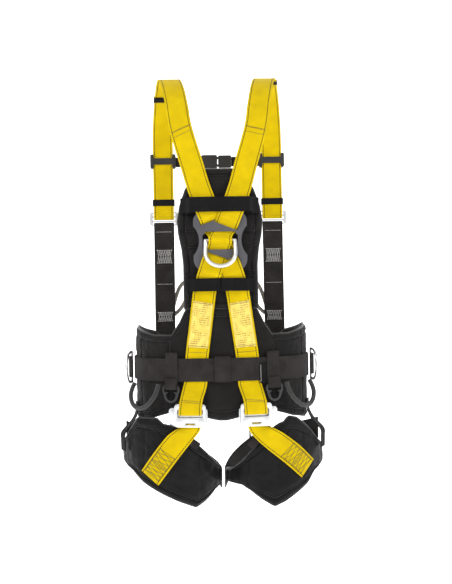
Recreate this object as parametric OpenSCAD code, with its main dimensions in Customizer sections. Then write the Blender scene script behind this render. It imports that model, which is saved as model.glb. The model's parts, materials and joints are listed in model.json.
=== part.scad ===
// Full-body work harness, standing as it is worn.
// Millimetres. +Z is up, +X is the wearer's right, the wearer's back faces -Y.
// The origin is the centre of the waist belt's ring.

/* [Wearer] */
// Half the width of the waist section
waist_half_w = 178; // [160:1:200]
// Distance from the origin to the outer face of the back padding
back_d = 128; // [115:1:140]
// Distance from the origin to the outer face of the padding in front
front_d = 118; // [110:1:130]
// Height of the shoulder tops above the belt
shoulder_z = 597; // [560:1:630]

/* [Webbing] */
// Width of the main webbing
web_w = 45; // [40:1:48]
// Thickness of the webbing
web_t = 2.2; // [1.6:0.1:2.4]
// Width of the chest strap
chest_w = 22; // [18:1:25]
// Height of the chest strap above the belt
chest_z = 448; // [430:1:470]

/* [Padding] */
// Thickness of the back and waist padding
pad_t = 14; // [8:1:16]
// Thickness of the thigh padding
leg_pad_t = 13; // [8:1:14]
// Height where the back pad is sewn to the waist pad
pad_seam_z = 118; // [112:1:125]

/* [Dorsal plate and ring] */
// Height of the dorsal ring's bar
dorsal_z = 250; // [245:1:255]
// Half the width of the plate across its lobes
plate_half_w = 52; // [48:1:56]
// Half the height of the plate
plate_half_h = 60; // [58:1:62]
// Half the width of the plate's waist
plate_waist = 41; // [38:1:44]
// Thickness of the plate
plate_t = 2.6; // [2:0.1:2.6]
// Wire diameter of the dorsal ring
dorsal_wire = 8; // [6:0.5:8]
// Distance between the centres of the ring's two legs
dorsal_ring_w = 58; // [56:1:62]
// Angle at which the ring rests, away from the back
dorsal_tilt = 24; // [24:1:32]

/* [Belt fittings] */
// Wire diameter of the side rings
side_wire = 6; // [5:0.5:7]
// Height of the side rings between wire centres
side_ring_h = 62; // [58:1:66]
// Distance of the tool loops from the centre
tool_x = 100; // [96:1:106]
// Width of the tool loops
tool_w = 25; // [20:1:25]
// Diameter of the sleeved gear loops
gear_d = 9; // [7:0.5:10]

/* [Leg loops] */
// Distance of each leg loop's centre from the middle
leg_x = 104; // [103:1:112]
// Half the width of a leg loop
leg_rx = 102.5; // [98:0.5:102.5]
// Half the depth of a leg loop
leg_ry = 105; // [98:1:108]
// Width of the leg buckle frames
frame_w = 62; // [58:1:64]

/* [Hidden] */
$fn = 32;

yellow = [0.93, 0.80, 0.05];
black = [0.13, 0.13, 0.13];
dark_grey = [0.33, 0.32, 0.35];
silver = [0.86, 0.87, 0.88];
sleeve_brown = [0.42, 0.39, 0.36];

// Exponent that makes the waist section a rounded rectangle rather than an ellipse
body_n = 2.6;
// Distances of each layer's middle from the padding's outer face
strap_lift = 2.5;
belt_lift = 5.6;
keeper_lift = 8.5;
bridge_lift = 1.5;
ring_lift = 6.4;
bar_strap_lift = ring_lift + dorsal_wire / 2 + 0.5 + web_t / 2;
plate_lift = 8.0;
lobe_lift = plate_lift + plate_t / 2 + 1 + web_t / 2;
layer_step = web_t + 1.2;
// Heights where the lower and the upper strap dive through the plate, from the ring's bar
dive_under = 40.5;
dive_over = 35.5;
slot_under = 43;
slot_over = 33;
lean_high = 0.4;
lean_low = 0.34;
front_x = 122;
front_inner_y = 115;
front_outer_y = 121.5;
adjuster_z = 325;

// ---- Section of the body -------------------------------------------------
function back_y(x) = -back_d * pow(max(0, 1 - pow(abs(x) / waist_half_w, body_n)), 1 / body_n);
function back_slope(x) = (back_y(x + 1) - back_y(x - 1)) / 2;
function sgn_pow(v, e) = sign(v) * pow(abs(v), e);
// A point round the waist. The angle runs from the middle of the back towards +X.
function round_waist(a, lift, z) = let(d = cos(a) > 0 ? back_d : front_d)
    [(waist_half_w + lift) * sgn_pow(sin(a), 2 / body_n),
     -(d + lift) * sgn_pow(cos(a), 2 / body_n), z];
// A point round a leg loop, on the side given by s
function round_leg(s, a, lift, z) =
    [s * (leg_x + (leg_rx + lift) * sin(a)), -25 - (leg_ry + lift) * cos(a), z];

// ---- Sweeps --------------------------------------------------------------
function unit(v) = v / max(norm(v), 1e-9);
function spline(a, b, c, d, t) =
    (2 * b + (c - a) * t + (2 * a - 5 * b + 4 * c - d) * t * t
    + (3 * b - a - 3 * c + d) * t * t * t) / 2;
function smooth(p, steps) = let(n = len(p)) concat(
    [for (i = [0 : n - 2], k = [0 : steps - 1])
        spline(p[max(i - 1, 0)], p[i], p[i + 1], p[min(i + 2, n - 1)], k / steps)],
    [p[n - 1]]);
function place(p) = [p[0], p[1], p[2]];
function heading(p, i) =
    unit(place(p[min(i + 1, len(p) - 1)]) - place(p[max(i - 1, 0)]));
function across(p, i) = let(t = heading(p, i), h = [p[i][3], p[i][4], p[i][5]])
    unit(h - (h * t) * t);
// The row of the weave keeps its own direction, so a strap can cross a bar at an angle.
function weft(p, i) = unit([p[i][3], p[i][4], p[i][5]]);

// Webbing along a route whose points are [x, y, z, and the direction of its width].
module webbing(route, w = web_w, t = web_t, steps = 4) {
    p = smooth(route, steps);
    n = len(p);
    ring = [for (i = [0 : n - 1]) let(o = place(p[i]), u = weft(p, i) * w / 2,
        v = cross(heading(p, i), across(p, i)) * t / 2)
        each [o - u - v, o + u - v, o + u + v, o - u + v]];
    sides = [for (i = [0 : n - 2], k = [0 : 3]) let(a = 4 * i + k, b = 4 * i + (k + 1) % 4)
        each [[a, a + 4, b], [b, a + 4, b + 4]]];
    last = 4 * (n - 1);
    ends = [[0, 1, 2], [0, 2, 3], [last + 2, last + 1, last], [last + 3, last + 2, last]];
    polyhedron(ring, concat(sides, ends), convexity = 8);
}

// A tube along a route of plain points.
module cord(route, d, sides = 10, steps = 3) {
    p = smooth([for (q = route) concat(q, [0.3, 0.9, 0.2])], steps);
    n = len(p);
    ring = [for (i = [0 : n - 1]) let(u = across(p, i), v = cross(heading(p, i), u))
        for (k = [0 : sides - 1])
            place(p[i]) + (u * cos(360 * k / sides) + v * sin(360 * k / sides)) * d / 2];
    walls = [for (i = [0 : n - 2], k = [0 : sides - 1])
        let(a = sides * i + k, b = sides * i + (k + 1) % sides)
        each [[a, a + sides, b], [b, a + sides, b + sides]]];
    last = sides * (n - 1);
    ends = concat([for (k = [1 : sides - 2]) [0, k, k + 1]],
        [for (k = [1 : sides - 2]) [last, last + k + 1, last + k]]);
    polyhedron(ring, concat(walls, ends), convexity = 8);
}

// A padded sheet between two grids of points, the outer first. Rows run along the sheet.
module sheet(outer, inner) {
    m = len(outer);
    n = len(outer[0]);
    all = concat([for (r = outer) each r], [for (r = inner) each r]);
    o = m * n;
    faces = [for (i = [0 : m - 2], k = [0 : n - 2]) let(a = i * n + k)
        each [[a, a + n, a + 1], [a + 1, a + n, a + n + 1],
              [o + a, o + a + 1, o + a + n], [o + a + 1, o + a + n + 1, o + a + n]]];
    rims = concat(
        [for (k = [0 : n - 2]) each [[k, k + 1, o + k], [k + 1, o + k + 1, o + k]]],
        [for (k = [0 : n - 2]) let(a = (m - 1) * n + k)
            each [[a, o + a, a + 1], [a + 1, o + a, o + a + 1]]],
        [for (i = [0 : m - 2]) let(a = i * n)
            each [[a, o + a, a + n], [a + n, o + a, o + a + n]]],
        [for (i = [0 : m - 2]) let(a = i * n + n - 1)
            each [[a, a + n, o + a], [a + n, o + a + n, o + a]]]);
    polyhedron(all, concat(faces, rims), convexity = 8);
}

// ---- Padding -------------------------------------------------------------
back_edge = [[118, 71], [205, 71], [235, 74], [265, 80], [290, 82], [320, 77], [351, 66],
    [375, 48], [390, 27]];
waist_top = [[0, 118], [17.6, 118], [22, 92], [28.6, 66], [45, 66], [60, 72], [90, 84],
    [128, 68], [143, 45], [163, 30]];
waist_bottom = [[0, -99], [20, -78], [31.5, -83], [49.4, -95], [80, -106], [100, -100],
    [128, -80], [163, -45]];
leg_top_left = [[-125, -226], [-90, -214], [-63, -190], [-49, -172], [-26, -139], [-8, -112],
    [0, -108], [8, -105], [15, -94], [41, -94], [60, -126], [82, -152], [100, -158], [125, -152]];
leg_bottom_left = [[-125, -258], [-90, -238], [-63, -243], [-43, -260], [-30, -269], [-8, -253],
    [14, -235], [34, -218], [51, -199], [82, -186], [125, -188]];
leg_top_right = [[-125, -224], [-90, -212], [-63, -205], [-45, -186], [-27, -158], [-8, -120],
    [3, -108], [8, -105], [14, -94], [24, -98], [39, -116], [55, -140], [72, -160], [100, -162],
    [125, -152]];
leg_bottom_right = [[-125, -254], [-90, -236], [-64, -231], [-45, -230], [-32, -239], [-18, -254],
    [-4, -267], [8, -258], [21, -245], [39, -227], [50, -208], [72, -196], [100, -190], [125, -188]];

function mix(a, b, t) = a + (b - a) * t;

module back_pad() {
    rows = [for (z = [pad_seam_z + 0.5 : 17 : 390]) z];
    function grid(lift) = [for (z = rows) [for (u = [-1 : 0.2 : 1.001])
        let(x = u * lookup(z, back_edge)) [x, back_y(x) - lift, z]]];
    color(black) sheet(grid(0), grid(-pad_t));
}

module waist_pad() {
    stations = [for (a = [-162 : 6 : 162.1]) a];
    function grid(lift) = [for (v = [0 : 0.25 : 1]) [for (a = stations)
        round_waist(a, lift, mix(lookup(abs(a), waist_bottom), lookup(abs(a), waist_top), v))]];
    color(black) sheet(grid(0), grid(-pad_t));
}

module leg_pad(s) {
    stations = [for (a = [-125 : 10 : 125]) s * a];
    top = s < 0 ? leg_top_left : leg_top_right;
    bottom = s < 0 ? leg_bottom_left : leg_bottom_right;
    function edge_z(a, v) = mix(lookup(a, bottom), lookup(a, top), v);
    function grid(lift) = [for (v = [0 : 0.25 : 1]) [for (a = stations)
        round_leg(s, a, lift, edge_z(a, v))]];
    color(black) sheet(grid(0), grid(-leg_pad_t));
}
module leg_pad_left() leg_pad(-1);
module leg_pad_right() leg_pad(1);

// ---- Keeper bands and belt ------------------------------------------------
// A flat band across the back between two distances from the middle, over the straps below it
function lift_over(lifts, x) = lookup(abs(x), lifts);
module back_band(x0, x1, z, w, lifts) {
    webbing([for (k = [0 : 8]) let(x = mix(x0, x1, k / 8))
        [x, back_y(x) - lift_over(lifts, x), z, 0, 0, 1]], w, web_t, 2);
}
lower_band_lifts = [[0, 15], [14, 14], [24, 11], [50, 9], [60, 2.6], [66, 1.8]];
module lower_keeper_band(x0, x1) color(black) back_band(x0, x1, 164.5, 25, lower_band_lifts);
module lower_keeper_band_left() lower_keeper_band(-66, -1);
module lower_keeper_band_right() lower_keeper_band(1, 66);

// It bridges the two straps where they rise over the plate.
upper_band_lifts = [[0, 18.2], [57, 18], [66, 7], [75, 1.8], [80, 1.6]];
module upper_keeper_band() {
    color(black) webbing([for (k = [-10 : 10]) let(x = 7.6 * k)
        [x, back_y(x) - lift_over(upper_band_lifts, x), 319.5, 0, 0, 1]], 29, web_t, 2);
}

belt_open = 166;
belt_lifts = [[0, belt_lift], [28, belt_lift], [42, 1.9], [180, 1.9]];
module waist_belt() {
    color(black) webbing([for (a = [-belt_open : 6 : belt_open + 0.1])
        concat(round_waist(a, lookup(abs(a), belt_lifts), 0), [0, 0, 1])], web_w, web_t, 2);
}
module belt_keeper_center() {
    color(black) back_band(-15.5, 15.5, 1, 50, [[0, keeper_lift], [16, keeper_lift]]);
}

// The front buckle: a flat frame and the tongue that hooks into it.
// A rectangle with round corners
module rounded(w, h, r) {
    square([w - 2 * r, h], center = true);
    square([w, h - 2 * r], center = true);
    for (x = [-1, 1], z = [-1, 1]) translate([x * (w / 2 - r), z * (h / 2 - r)]) circle(r);
}
buckle_y = front_d + 6;
module waist_buckle_frame() {
    color(silver) translate([-32, buckle_y, 0]) rotate([90, 0, 0])
        translate([0, 0, -1.5]) linear_extrude(3) difference() {
            rounded(44, 60, 5);
            translate([8, 0]) rounded(14, 47, 4);
            translate([-12, 0]) rounded(10, 47, 4);
        }
}
module waist_buckle_tongue() color(silver) translate([32, buckle_y, 0]) {
    rotate([90, 0, 0]) translate([0, 0, -1.5]) linear_extrude(3) {
        difference() {
            rounded(40, 60, 5);
            translate([10, 0]) rounded(10, 47, 4);
        }
        translate([-28, 0]) square([20, 36], center = true);
    }
}

// ---- Shoulder straps -------------------------------------------------------
// A point of the strap on the back: place across, height, lift and sideways slope.
function on_back(s, x, z, lift, lean) =
    [s * x, back_y(x) - lift, z, 1, back_slope(s * x), -s * lean];
// A point of the strap away from the back, its width turned by an angle about Z
function off_back(s, x, y, z, turn) = [s * x, y, z, cos(turn), s * sin(turn), 0];

// The strap runs from its tail in front, round the adjuster and over the shoulder,
// then crosses the back through the plate to the opposite leg's frame.
module shoulder_strap(s, over) {
    low = bridge_lift + over;
    bar = bar_strap_lift + over;
    lobe = lobe_lift + over;
    dive = over > 0 ? dive_over : dive_under;
    // One point above (k = 1) or below (k = -1) the ring's bar; the rows lean from row 0 to 1
    function near_bar(k, h, lift, row) =
        let(lean = k > 0 ? lean_high : lean_low, out = h > 20 ? h : max(0, h - 6) * 20 / 14)
        on_back(s, k * lean * out, dorsal_z + k * h, lift, lean * row);
    function pass_plate(k) = [
        near_bar(k, 4, bar - 1.1, 0),
        near_bar(k, 8, bar - 4.2, 0),
        near_bar(k, 12, low + 3, 0),
        near_bar(k, 16, low + 0.6, 0.2),
        near_bar(k, 20, low, 0.5),
        near_bar(k, dive - 8.5, low, 1),
        near_bar(k, dive - 4, low + 1.4, 1),
        near_bar(k, dive, (low + lobe) / 2, 1),
        near_bar(k, dive + 4, lobe - 1.4, 1),
        near_bar(k, dive + 8.5, lobe, 1)];
    function flip(list) = [for (i = [len(list) - 1 : -1 : 0]) list[i]];
    route = concat([
        off_back(s, front_x, front_outer_y, 486, 0),
        off_back(s, front_x, front_outer_y, 400, 0),
        off_back(s, front_x, front_outer_y, adjuster_z + 8, 0),
        off_back(s, front_x, front_outer_y, adjuster_z - 1, 0),
        off_back(s, front_x, front_outer_y - 1, adjuster_z - 5.4, 0),
        off_back(s, front_x, (front_inner_y + front_outer_y) / 2, adjuster_z - 7.6, 0),
        off_back(s, front_x, front_inner_y + 1, adjuster_z - 5.4, 0),
        off_back(s, front_x, front_inner_y, adjuster_z - 1, 0),
        off_back(s, front_x, front_inner_y, adjuster_z + 8, 0),
        off_back(s, front_x, front_inner_y, 430, 0),
        off_back(s, front_x, front_inner_y - 0.2, 492, 0),
        off_back(s, 120, 104, 530, 0),
        off_back(s, 115, 75, 566, 0),
        off_back(s, 109, 38, shoulder_z - 9, 0),
        off_back(s, 103, 0, shoulder_z, 0),
        off_back(s, 96, -45, shoulder_z - 11, 0),
        off_back(s, 88, -86, shoulder_z - 40, 0),
        off_back(s, 81, -112, 520, 0),
        on_back(s, 73, 470, 2, 0.29),
        on_back(s, 53, 400, strap_lift, 0.29),
        on_back(s, 43, 364, strap_lift + 0.8, 0.3),
        on_back(s, 37, 345, 7 + over * 0.6, 0.35),
        on_back(s, 30, 325, lobe + 0.2, 0.4),
        on_back(s, 25, 312, lobe, 0.4)],
        flip(pass_plate(1)),
        [on_back(s, 0, dorsal_z, bar, 0)],
        pass_plate(-1), [
        on_back(s, -19.5, 193, lobe, 0.34),
        on_back(s, -21.5, 187, lobe, 0.34),
        on_back(s, -24, 180, 7.6 + over * 0.5, 0.32),
        on_back(s, -27, 170, strap_lift + 0.7, 0.28),
        on_back(s, -32, 150, strap_lift, 0.2),
        on_back(s, -41, 84, strap_lift, 0.13),
        on_back(s, -49, 24, strap_lift, 0.06),
        on_back(s, -52, -22, strap_lift, 0.1),
        on_back(s, -55, -36, 4.6, 0.14),
        on_leg_frame(-s, -4, leg_bar_z + 18, 3.6),
        on_leg_frame(-s, -1.5, leg_bar_z + 6, 4.3),
        on_leg_frame(-s, 0, leg_bar_z - 11, 3.9),
        on_leg_frame(-s, 0, leg_bar_z - 16, 0),
        on_leg_frame(-s, 0, leg_bar_z - 11, -3.6),
        on_leg_frame(-s, 0, leg_bar_z + 5, -3.8),
        on_leg_frame(-s, -1, leg_bar_z + 10, -4.2)]);
    color(yellow) webbing(route, web_w, web_t, 3);
}
module shoulder_strap_left() shoulder_strap(-1, 0);
module shoulder_strap_right() shoulder_strap(1, layer_step);

// ---- Dorsal plate and ring --------------------------------------------------
// A slot across the strap's way, k = 1 above the ring's bar and -1 below it
module plate_slot(s, k, h, lean) {
    translate([s * k * lean * h, k * h]) rotate(-s * atan(lean))
        square([web_w + 2, 11], center = true);
}
module dorsal_plate() {
    side_r = 42;
    color(dark_grey) translate([0, -back_d - plate_lift, dorsal_z]) rotate([90, 0, 0])
        translate([0, 0, -plate_t / 2]) linear_extrude(plate_t) difference() {
            rounded(2 * plate_half_w, 2 * plate_half_h, 24);
            for (s = [-1, 1]) translate([s * (plate_waist + side_r), 0]) circle(side_r, $fn = 64);
            for (k = [-1, 1]) {
                lean = k > 0 ? lean_high : lean_low;
                plate_slot(-1, k, slot_under, lean);
                plate_slot(1, k, slot_over, lean);
            }
            // The window round the ring's bar, narrower above it
            translate([0, -2.75]) rounded(68.5, 29.5, 3);
            rounded(61, 35, 4);
        }
}

// A closed D of wire: a straight bar along X, two legs hanging from it and a round bow.
module wire_d(w, leg, d) {
    rotate([0, 90, 0]) cylinder(h = w, d = d, center = true);
    for (s = [-1, 1]) translate([s * w / 2, 0, 0]) {
        sphere(d = d);
        translate([0, 0, -leg]) cylinder(h = leg, d = d);
    }
    translate([0, 0, -leg]) rotate([90, 0, 0]) rotate([0, 0, 180])
        rotate_extrude(angle = 180, $fn = 64) translate([w / 2, 0]) circle(d = d);
}
module dorsal_ring() {
    color(silver) translate([0, -back_d - ring_lift, dorsal_z]) rotate([-dorsal_tilt, 0, 0])
        wire_d(dorsal_ring_w, 26, dorsal_wire);
}

// ---- Chest strap --------------------------------------------------------------
slider_w = 55;
slider_h = 32;
slider_y0 = 111.5;
slider_y1 = 127;
chest_y = 129.3;
module box(x0, x1, y0, y1, z0, z1) translate([x0, y0, z0]) cube([x1 - x0, y1 - y0, z1 - z0]);

module chest_slider(s) {
    cx = s * front_x;
    color(black) {
        difference() {
            union() {
                box(cx - slider_w / 2, cx + slider_w / 2, slider_y0, slider_y1,
                    chest_z - 7, chest_z + 7);
                for (k = [-1, 1]) translate([cx + k * (slider_w / 2 - 3), 0, chest_z])
                    rotate([-90, 0, 0]) translate([0, 0, slider_y0])
                        linear_extrude(slider_y1 - slider_y0) rounded(8, slider_h, 3.9);
            }
            box(cx - web_w / 2 - 0.8, cx + web_w / 2 + 0.8, front_inner_y - 1.7,
                front_outer_y + 1.7, chest_z - 40, chest_z + 40);
        }
        // The bridge that the chest strap runs under
        for (z = [-1, 1]) box(cx - 5, cx + 5, slider_y1 - 0.1, chest_y + 4.6,
            chest_z + z * (chest_w / 2 + 2.4) - 1.6, chest_z + z * (chest_w / 2 + 2.4) + 1.6);
        box(cx - 5, cx + 5, chest_y + 2, chest_y + 4.6,
            chest_z - chest_w / 2 - 4, chest_z + chest_w / 2 + 4);
        for (z = [-1, 1]) box(cx - 5, cx + 5, slider_y1 - 3, slider_y1,
            chest_z + z * 10 - 5, chest_z + z * 10 + 5);
    }
}
module chest_slider_left() chest_slider(-1);
module chest_slider_right() chest_slider(1);

module chest_strap(s, x0) {
    color(black) box(min(s * x0, s * 134), max(s * x0, s * 134), chest_y - 0.9, chest_y + 0.9,
        chest_z - chest_w / 2, chest_z + chest_w / 2);
}
module chest_strap_left() chest_strap(-1, 36.2);
module chest_strap_right() chest_strap(1, 32.2);

module chest_buckle_female() {
    color(black) difference() {
        translate([-18, chest_y, chest_z]) rotate([90, 0, 0]) translate([0, 0, -6])
            linear_extrude(12) rounded(36, 30, 4);
        box(-14, 1, chest_y - 3.2, chest_y + 3.2, chest_z - 12, chest_z + 12);
    }
}
module chest_buckle_male() {
    color(black) {
        translate([17, chest_y, chest_z]) rotate([90, 0, 0]) translate([0, 0, -4.5])
            linear_extrude(9) rounded(30, 28, 3);
        for (z = [-1, 1]) box(-12, 5, chest_y - 2.4, chest_y + 2.4,
            chest_z + z * 8.5 - 2.5, chest_z + z * 8.5 + 2.5);
    }
}

// ---- Front webbing ---------------------------------------------------------
adjuster_y = (front_inner_y + front_outer_y) / 2;
module front_adjuster(s) {
    color(silver) translate([s * front_x, adjuster_y, adjuster_z - 6]) rotate([90, 0, 0])
        translate([0, 0, -1.5]) linear_extrude(3) difference() {
            rounded(64, 31, 5);
            translate([0, 9.4]) rounded(50, 6.4, 2.5);
            translate([0, -0.6]) rounded(50, 6.6, 2.5);
            translate([0, -10]) rounded(50, 5.4, 2.5);
        }
}
module front_adjuster_left() front_adjuster(-1);
module front_adjuster_right() front_adjuster(1);

// The lower webbing is sewn round the adjuster's lowest bar and runs down to the belt.
module front_webbing(s) {
    low = adjuster_z - 21.5;
    color(black) webbing([
        off_back(s, front_x, adjuster_y + 3.6, low - 45, 0),
        off_back(s, front_x, adjuster_y + 3.9, low - 5, 0),
        off_back(s, front_x, adjuster_y + 3.6, low + 2, 0),
        off_back(s, front_x, adjuster_y, low + 6.3, 0),
        off_back(s, front_x, adjuster_y - 3.6, low + 2, 0),
        off_back(s, front_x, adjuster_y - 3.7, low - 5, 0),
        off_back(s, front_x, adjuster_y - 3.4, 220, 0),
        off_back(s, front_x, adjuster_y - 5, 150, -3),
        off_back(s, front_x, 109, 90, -12),
        off_back(s, front_x, 106.5, 40, -20),
        off_back(s, front_x, 106.5, -22, -22)], web_w, web_t, 4);
}
module front_webbing_left() front_webbing(-1);
module front_webbing_right() front_webbing(1);

// Sleeved textile loops that lean up and in from the front webbing.
module sternal_loop(s) {
    color(sleeve_brown) cord([[s * 104, 126, 124], [s * 99, 128, 142], [s * 92, 132, 161],
        [s * 83, 137, 174], [s * 74, 141, 176], [s * 69, 142, 167], [s * 70, 141, 155],
        [s * 77, 136, 136], [s * 88, 130, 117], [s * 102, 126, 104]], 8.5, 10, 3);
}
module sternal_loop_left() sternal_loop(-1);
module sternal_loop_right() sternal_loop(1);

// Elastic keepers round the shoulder strap and its tail.
module tail_keeper(s, z) {
    cx = s * front_x;
    color(black) difference() {
        box(cx - 24.5, cx + 24.5, front_inner_y - 3, front_outer_y + 3, z - 7, z + 7);
        box(cx - 23.2, cx + 23.2, front_inner_y - 1.7, front_outer_y + 1.7, z - 9, z + 9);
    }
}
module tail_keepers_left() tail_keeper(-1, 355);
module tail_keepers_right() tail_keeper(1, 355);

// ---- Side rings, tool loops and gear loops ----------------------------------------
side_x = waist_half_w + 8.6;
side_y = -16;
module side_ring(s) {
    color(silver) translate([s * side_x, side_y, 0]) rotate([0, 0, s * 8]) rotate([0, 90, 90])
        wire_d(side_ring_h, 14, side_wire);
}
module side_ring_left() side_ring(-1);
module side_ring_right() side_ring(1);

// The webbing wrap that holds a side ring's bar to the belt.
module side_ring_loop(s) {
    x = s * waist_half_w;
    color(black) webbing([
        [x + s * 4.4, side_y - 26, 0, 0, 0, 1],
        [x + s * 5.2, side_y - 12, 0, 0, 0, 1],
        [x + s * 11.5, side_y - 4.5, 0, 0, 0, 1],
        [x + s * 13.6, side_y, 0, 0, 0, 1],
        [x + s * 11.4, side_y + 4.2, 0, 0, 0, 1],
        [x + s * 7.8, side_y + 5.0, 0, 0, 0, 1]], web_w - 2, 1.8, 4);
}
module side_ring_loop_left() side_ring_loop(-1);
module side_ring_loop_right() side_ring_loop(1);

tool_ring_z = -31;
tool_ring_lift = 12.5;
// A point in front of or behind the tool ring's bar, d being the distance outward from it
function by_tool_ring(s, z, d) = let(turn = atan(back_slope(tool_x)))
    [s * (tool_x + sin(turn) * d), back_y(tool_x) - tool_ring_lift - cos(turn) * d, z,
     cos(turn), s * sin(turn), 0];
// A webbing loop over the belt, closed round the tool ring's bar.
module tool_loop(s) {
    rest = keeper_lift - tool_ring_lift;
    color(black) webbing([
        by_tool_ring(s, 34, rest),
        by_tool_ring(s, 0, rest),
        by_tool_ring(s, -20, rest),
        by_tool_ring(s, tool_ring_z + 3, -4.2),
        by_tool_ring(s, tool_ring_z - 4, -3),
        by_tool_ring(s, tool_ring_z - 5.4, 0.4),
        by_tool_ring(s, tool_ring_z, 4.3),
        by_tool_ring(s, tool_ring_z + 7, 2.6),
        by_tool_ring(s, tool_ring_z + 15, -0.4)], tool_w, 1.8, 4);
}
module tool_loop_left() tool_loop(-1);
module tool_loop_right() tool_loop(1);

module tool_ring(s) {
    turn = atan(back_slope(s * tool_x));
    color(black) translate([s * tool_x, back_y(tool_x) - tool_ring_lift, tool_ring_z])
        rotate([0, 0, turn]) {
            rotate([0, 90, 0]) cylinder(h = tool_w + 5, d = 4.6, center = true);
            translate([0, 0, -14.5]) rotate([90, 0, 0]) translate([0, 0, -2.4]) linear_extrude(4.8)
                difference() {
                    hull() {
                        translate([0, 8]) rounded(tool_w + 10, 18, 7);
                        translate([0, -3]) circle(d = 28, $fn = 48);
                    }
                    translate([0, 9]) rounded(tool_w + 2, 11.4, 3);
                    translate([0, 15]) square([tool_w + 2, 12], center = true);
                    hull() {
                        translate([0, -4]) circle(d = 18, $fn = 40);
                        translate([0, -1.5]) rounded(20, 5, 2);
                    }
                }
        }
}
module tool_ring_left() tool_ring(-1);
module tool_ring_right() tool_ring(1);

// A sleeved cord hanging from the belt between the tool loop and the side ring.
module gear_loop(s) {
    color(sleeve_brown) cord([[s * 125, -121, -27], [s * 127, -123, -36], [s * 133, -127, -50],
        [s * 144, -126, -64], [s * 157, -118, -73], [s * 170, -104, -74], [s * 180, -89, -65],
        [s * 183, -79, -51], [s * 180, -74, -38], [s * 175, -72, -28]], gear_d, 10, 3);
}
module gear_loop_left() gear_loop(-1);
module gear_loop_right() gear_loop(1);

module label_tag() {
    color(black) translate([79, back_y(79) - 7.6, -8]) rotate([90, 0, atan(back_slope(79))])
        linear_extrude(1.4) rounded(13, 40, 2);
}

// ---- Leg loops --------------------------------------------------------------
leg_bar_z = -71;
leg_frame_lift = 8;
leg_frame_z = -88;
leg_frame_x = 64;
// A point on the plane of a leg's frame, out from its middle, at a height and a lift off the plane
function on_leg_frame(s, dx, z, lift) = let(slope = back_slope(leg_frame_x))
    [s * (leg_frame_x + dx), back_y(leg_frame_x) - leg_frame_lift + slope * dx - lift, z,
     1, s * slope, 0];
module on_frame_plane(s, lift) {
    translate([s * leg_frame_x, back_y(leg_frame_x) - lift, leg_frame_z])
        rotate([0, 0, s * atan(back_slope(leg_frame_x))]) children();
}
module leg_frame(s) {
    color(silver) on_frame_plane(s, leg_frame_lift) rotate([90, 0, 0])
        translate([0, 0, -2]) linear_extrude(4) difference() {
            rounded(frame_w, 45, 7);
            translate([0, 4.5]) rounded(50, 17, 4);
            translate([0, -15]) rounded(19, 6, 2.9);
        }
}
module leg_frame_left() leg_frame(-1);
module leg_frame_right() leg_frame(1);

module leg_plate(s) {
    color(silver) on_frame_plane(s, 1.5) translate([s * 4, 0, -3]) rotate([90, 0, 0])
        translate([0, 0, -1.2]) linear_extrude(2.4) difference() {
            rounded(76, 34, 6);
            translate([0, -9.5]) rounded(50, 5, 2.4);
        }
}
module leg_plate_left() leg_plate(-1);
module leg_plate_right() leg_plate(1);

// A point on the thigh pad; the strap's width leans by tilt degrees from level.
function on_leg(s, a, z, lift, tilt) = concat(round_leg(s, a, lift, z),
    [cos(tilt) * cos(a), s * cos(tilt) * sin(a), s * sin(tilt)]);
leg_tilt_left = 37;
leg_tilt_right = 44;
// The strap comes out between the leg's frame and the plate behind it, and is sewn down the pad.
module leg_strap(s) {
    tilt = s < 0 ? leg_tilt_left : leg_tilt_right;
    x = s < 0 ? 1 : 5;
    color(yellow) webbing(concat([
        on_leg_frame(s, x, -104, -3.6), on_leg_frame(s, x + 1, -113, -3)],
        s < 0 ? [on_leg(s, -15, -124, 4.6, 20), on_leg(s, -6, -141, 3.4, 35),
            on_leg(s, 8, -173, 2.5, tilt), on_leg(s, 22.5, -208, 2.2, tilt)]
        : [on_leg(s, -13, -124, 4.6, 22), on_leg(s, -2, -140, 3, 38),
            on_leg(s, 17, -168, 2, tilt), on_leg(s, 35, -198, 2, tilt)]), web_w, web_t, 4);
}
module leg_strap_left() leg_strap(-1);
module leg_strap_right() leg_strap(1);

// A flat sleeve that lies between the strap and the pad's rim.
module wear_sleeve(s) {
    tilt = s < 0 ? leg_tilt_left : leg_tilt_right;
    color(black) webbing([
        on_leg(s, -26, -134, 0.9, tilt),
        on_leg(s, -23, -139, 0.9, tilt),
        on_leg(s, -20, -145, 0.9, tilt)], web_w - 5, 1.2, 4);
}
module wear_sleeve_left() wear_sleeve(-1);
module wear_sleeve_right() wear_sleeve(1);

function thigh_buckle_z(s) = s < 0 ? -204 : -181;
// The webbing that closes the leg loop in front.
module thigh_webbing(s) {
    run = [[110, -138], [196, thigh_buckle_z(s)], [254, -238]];
    color(black) webbing([for (a = [110 : 12 : 254])
        concat(round_leg(s, a, 1.7, lookup(a, run)), [0, 0, 1])], web_w, web_t, 2);
}
module thigh_webbing_left() thigh_webbing(-1);
module thigh_webbing_right() thigh_webbing(1);

module thigh_buckle(s) {
    p = round_leg(s, 196, 6.4, thigh_buckle_z(s));
    color(silver) translate(p) rotate([0, 0, s * 16]) rotate([90, 0, 0]) translate([0, 0, -1.5])
        linear_extrude(3) difference() {
            rounded(32, 60, 4);
            translate([7, 0]) rounded(8, 50, 3);
            translate([-7, 0]) rounded(8, 50, 3);
        }
}
module thigh_buckle_left() thigh_buckle(-1);
module thigh_buckle_right() thigh_buckle(1);

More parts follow.
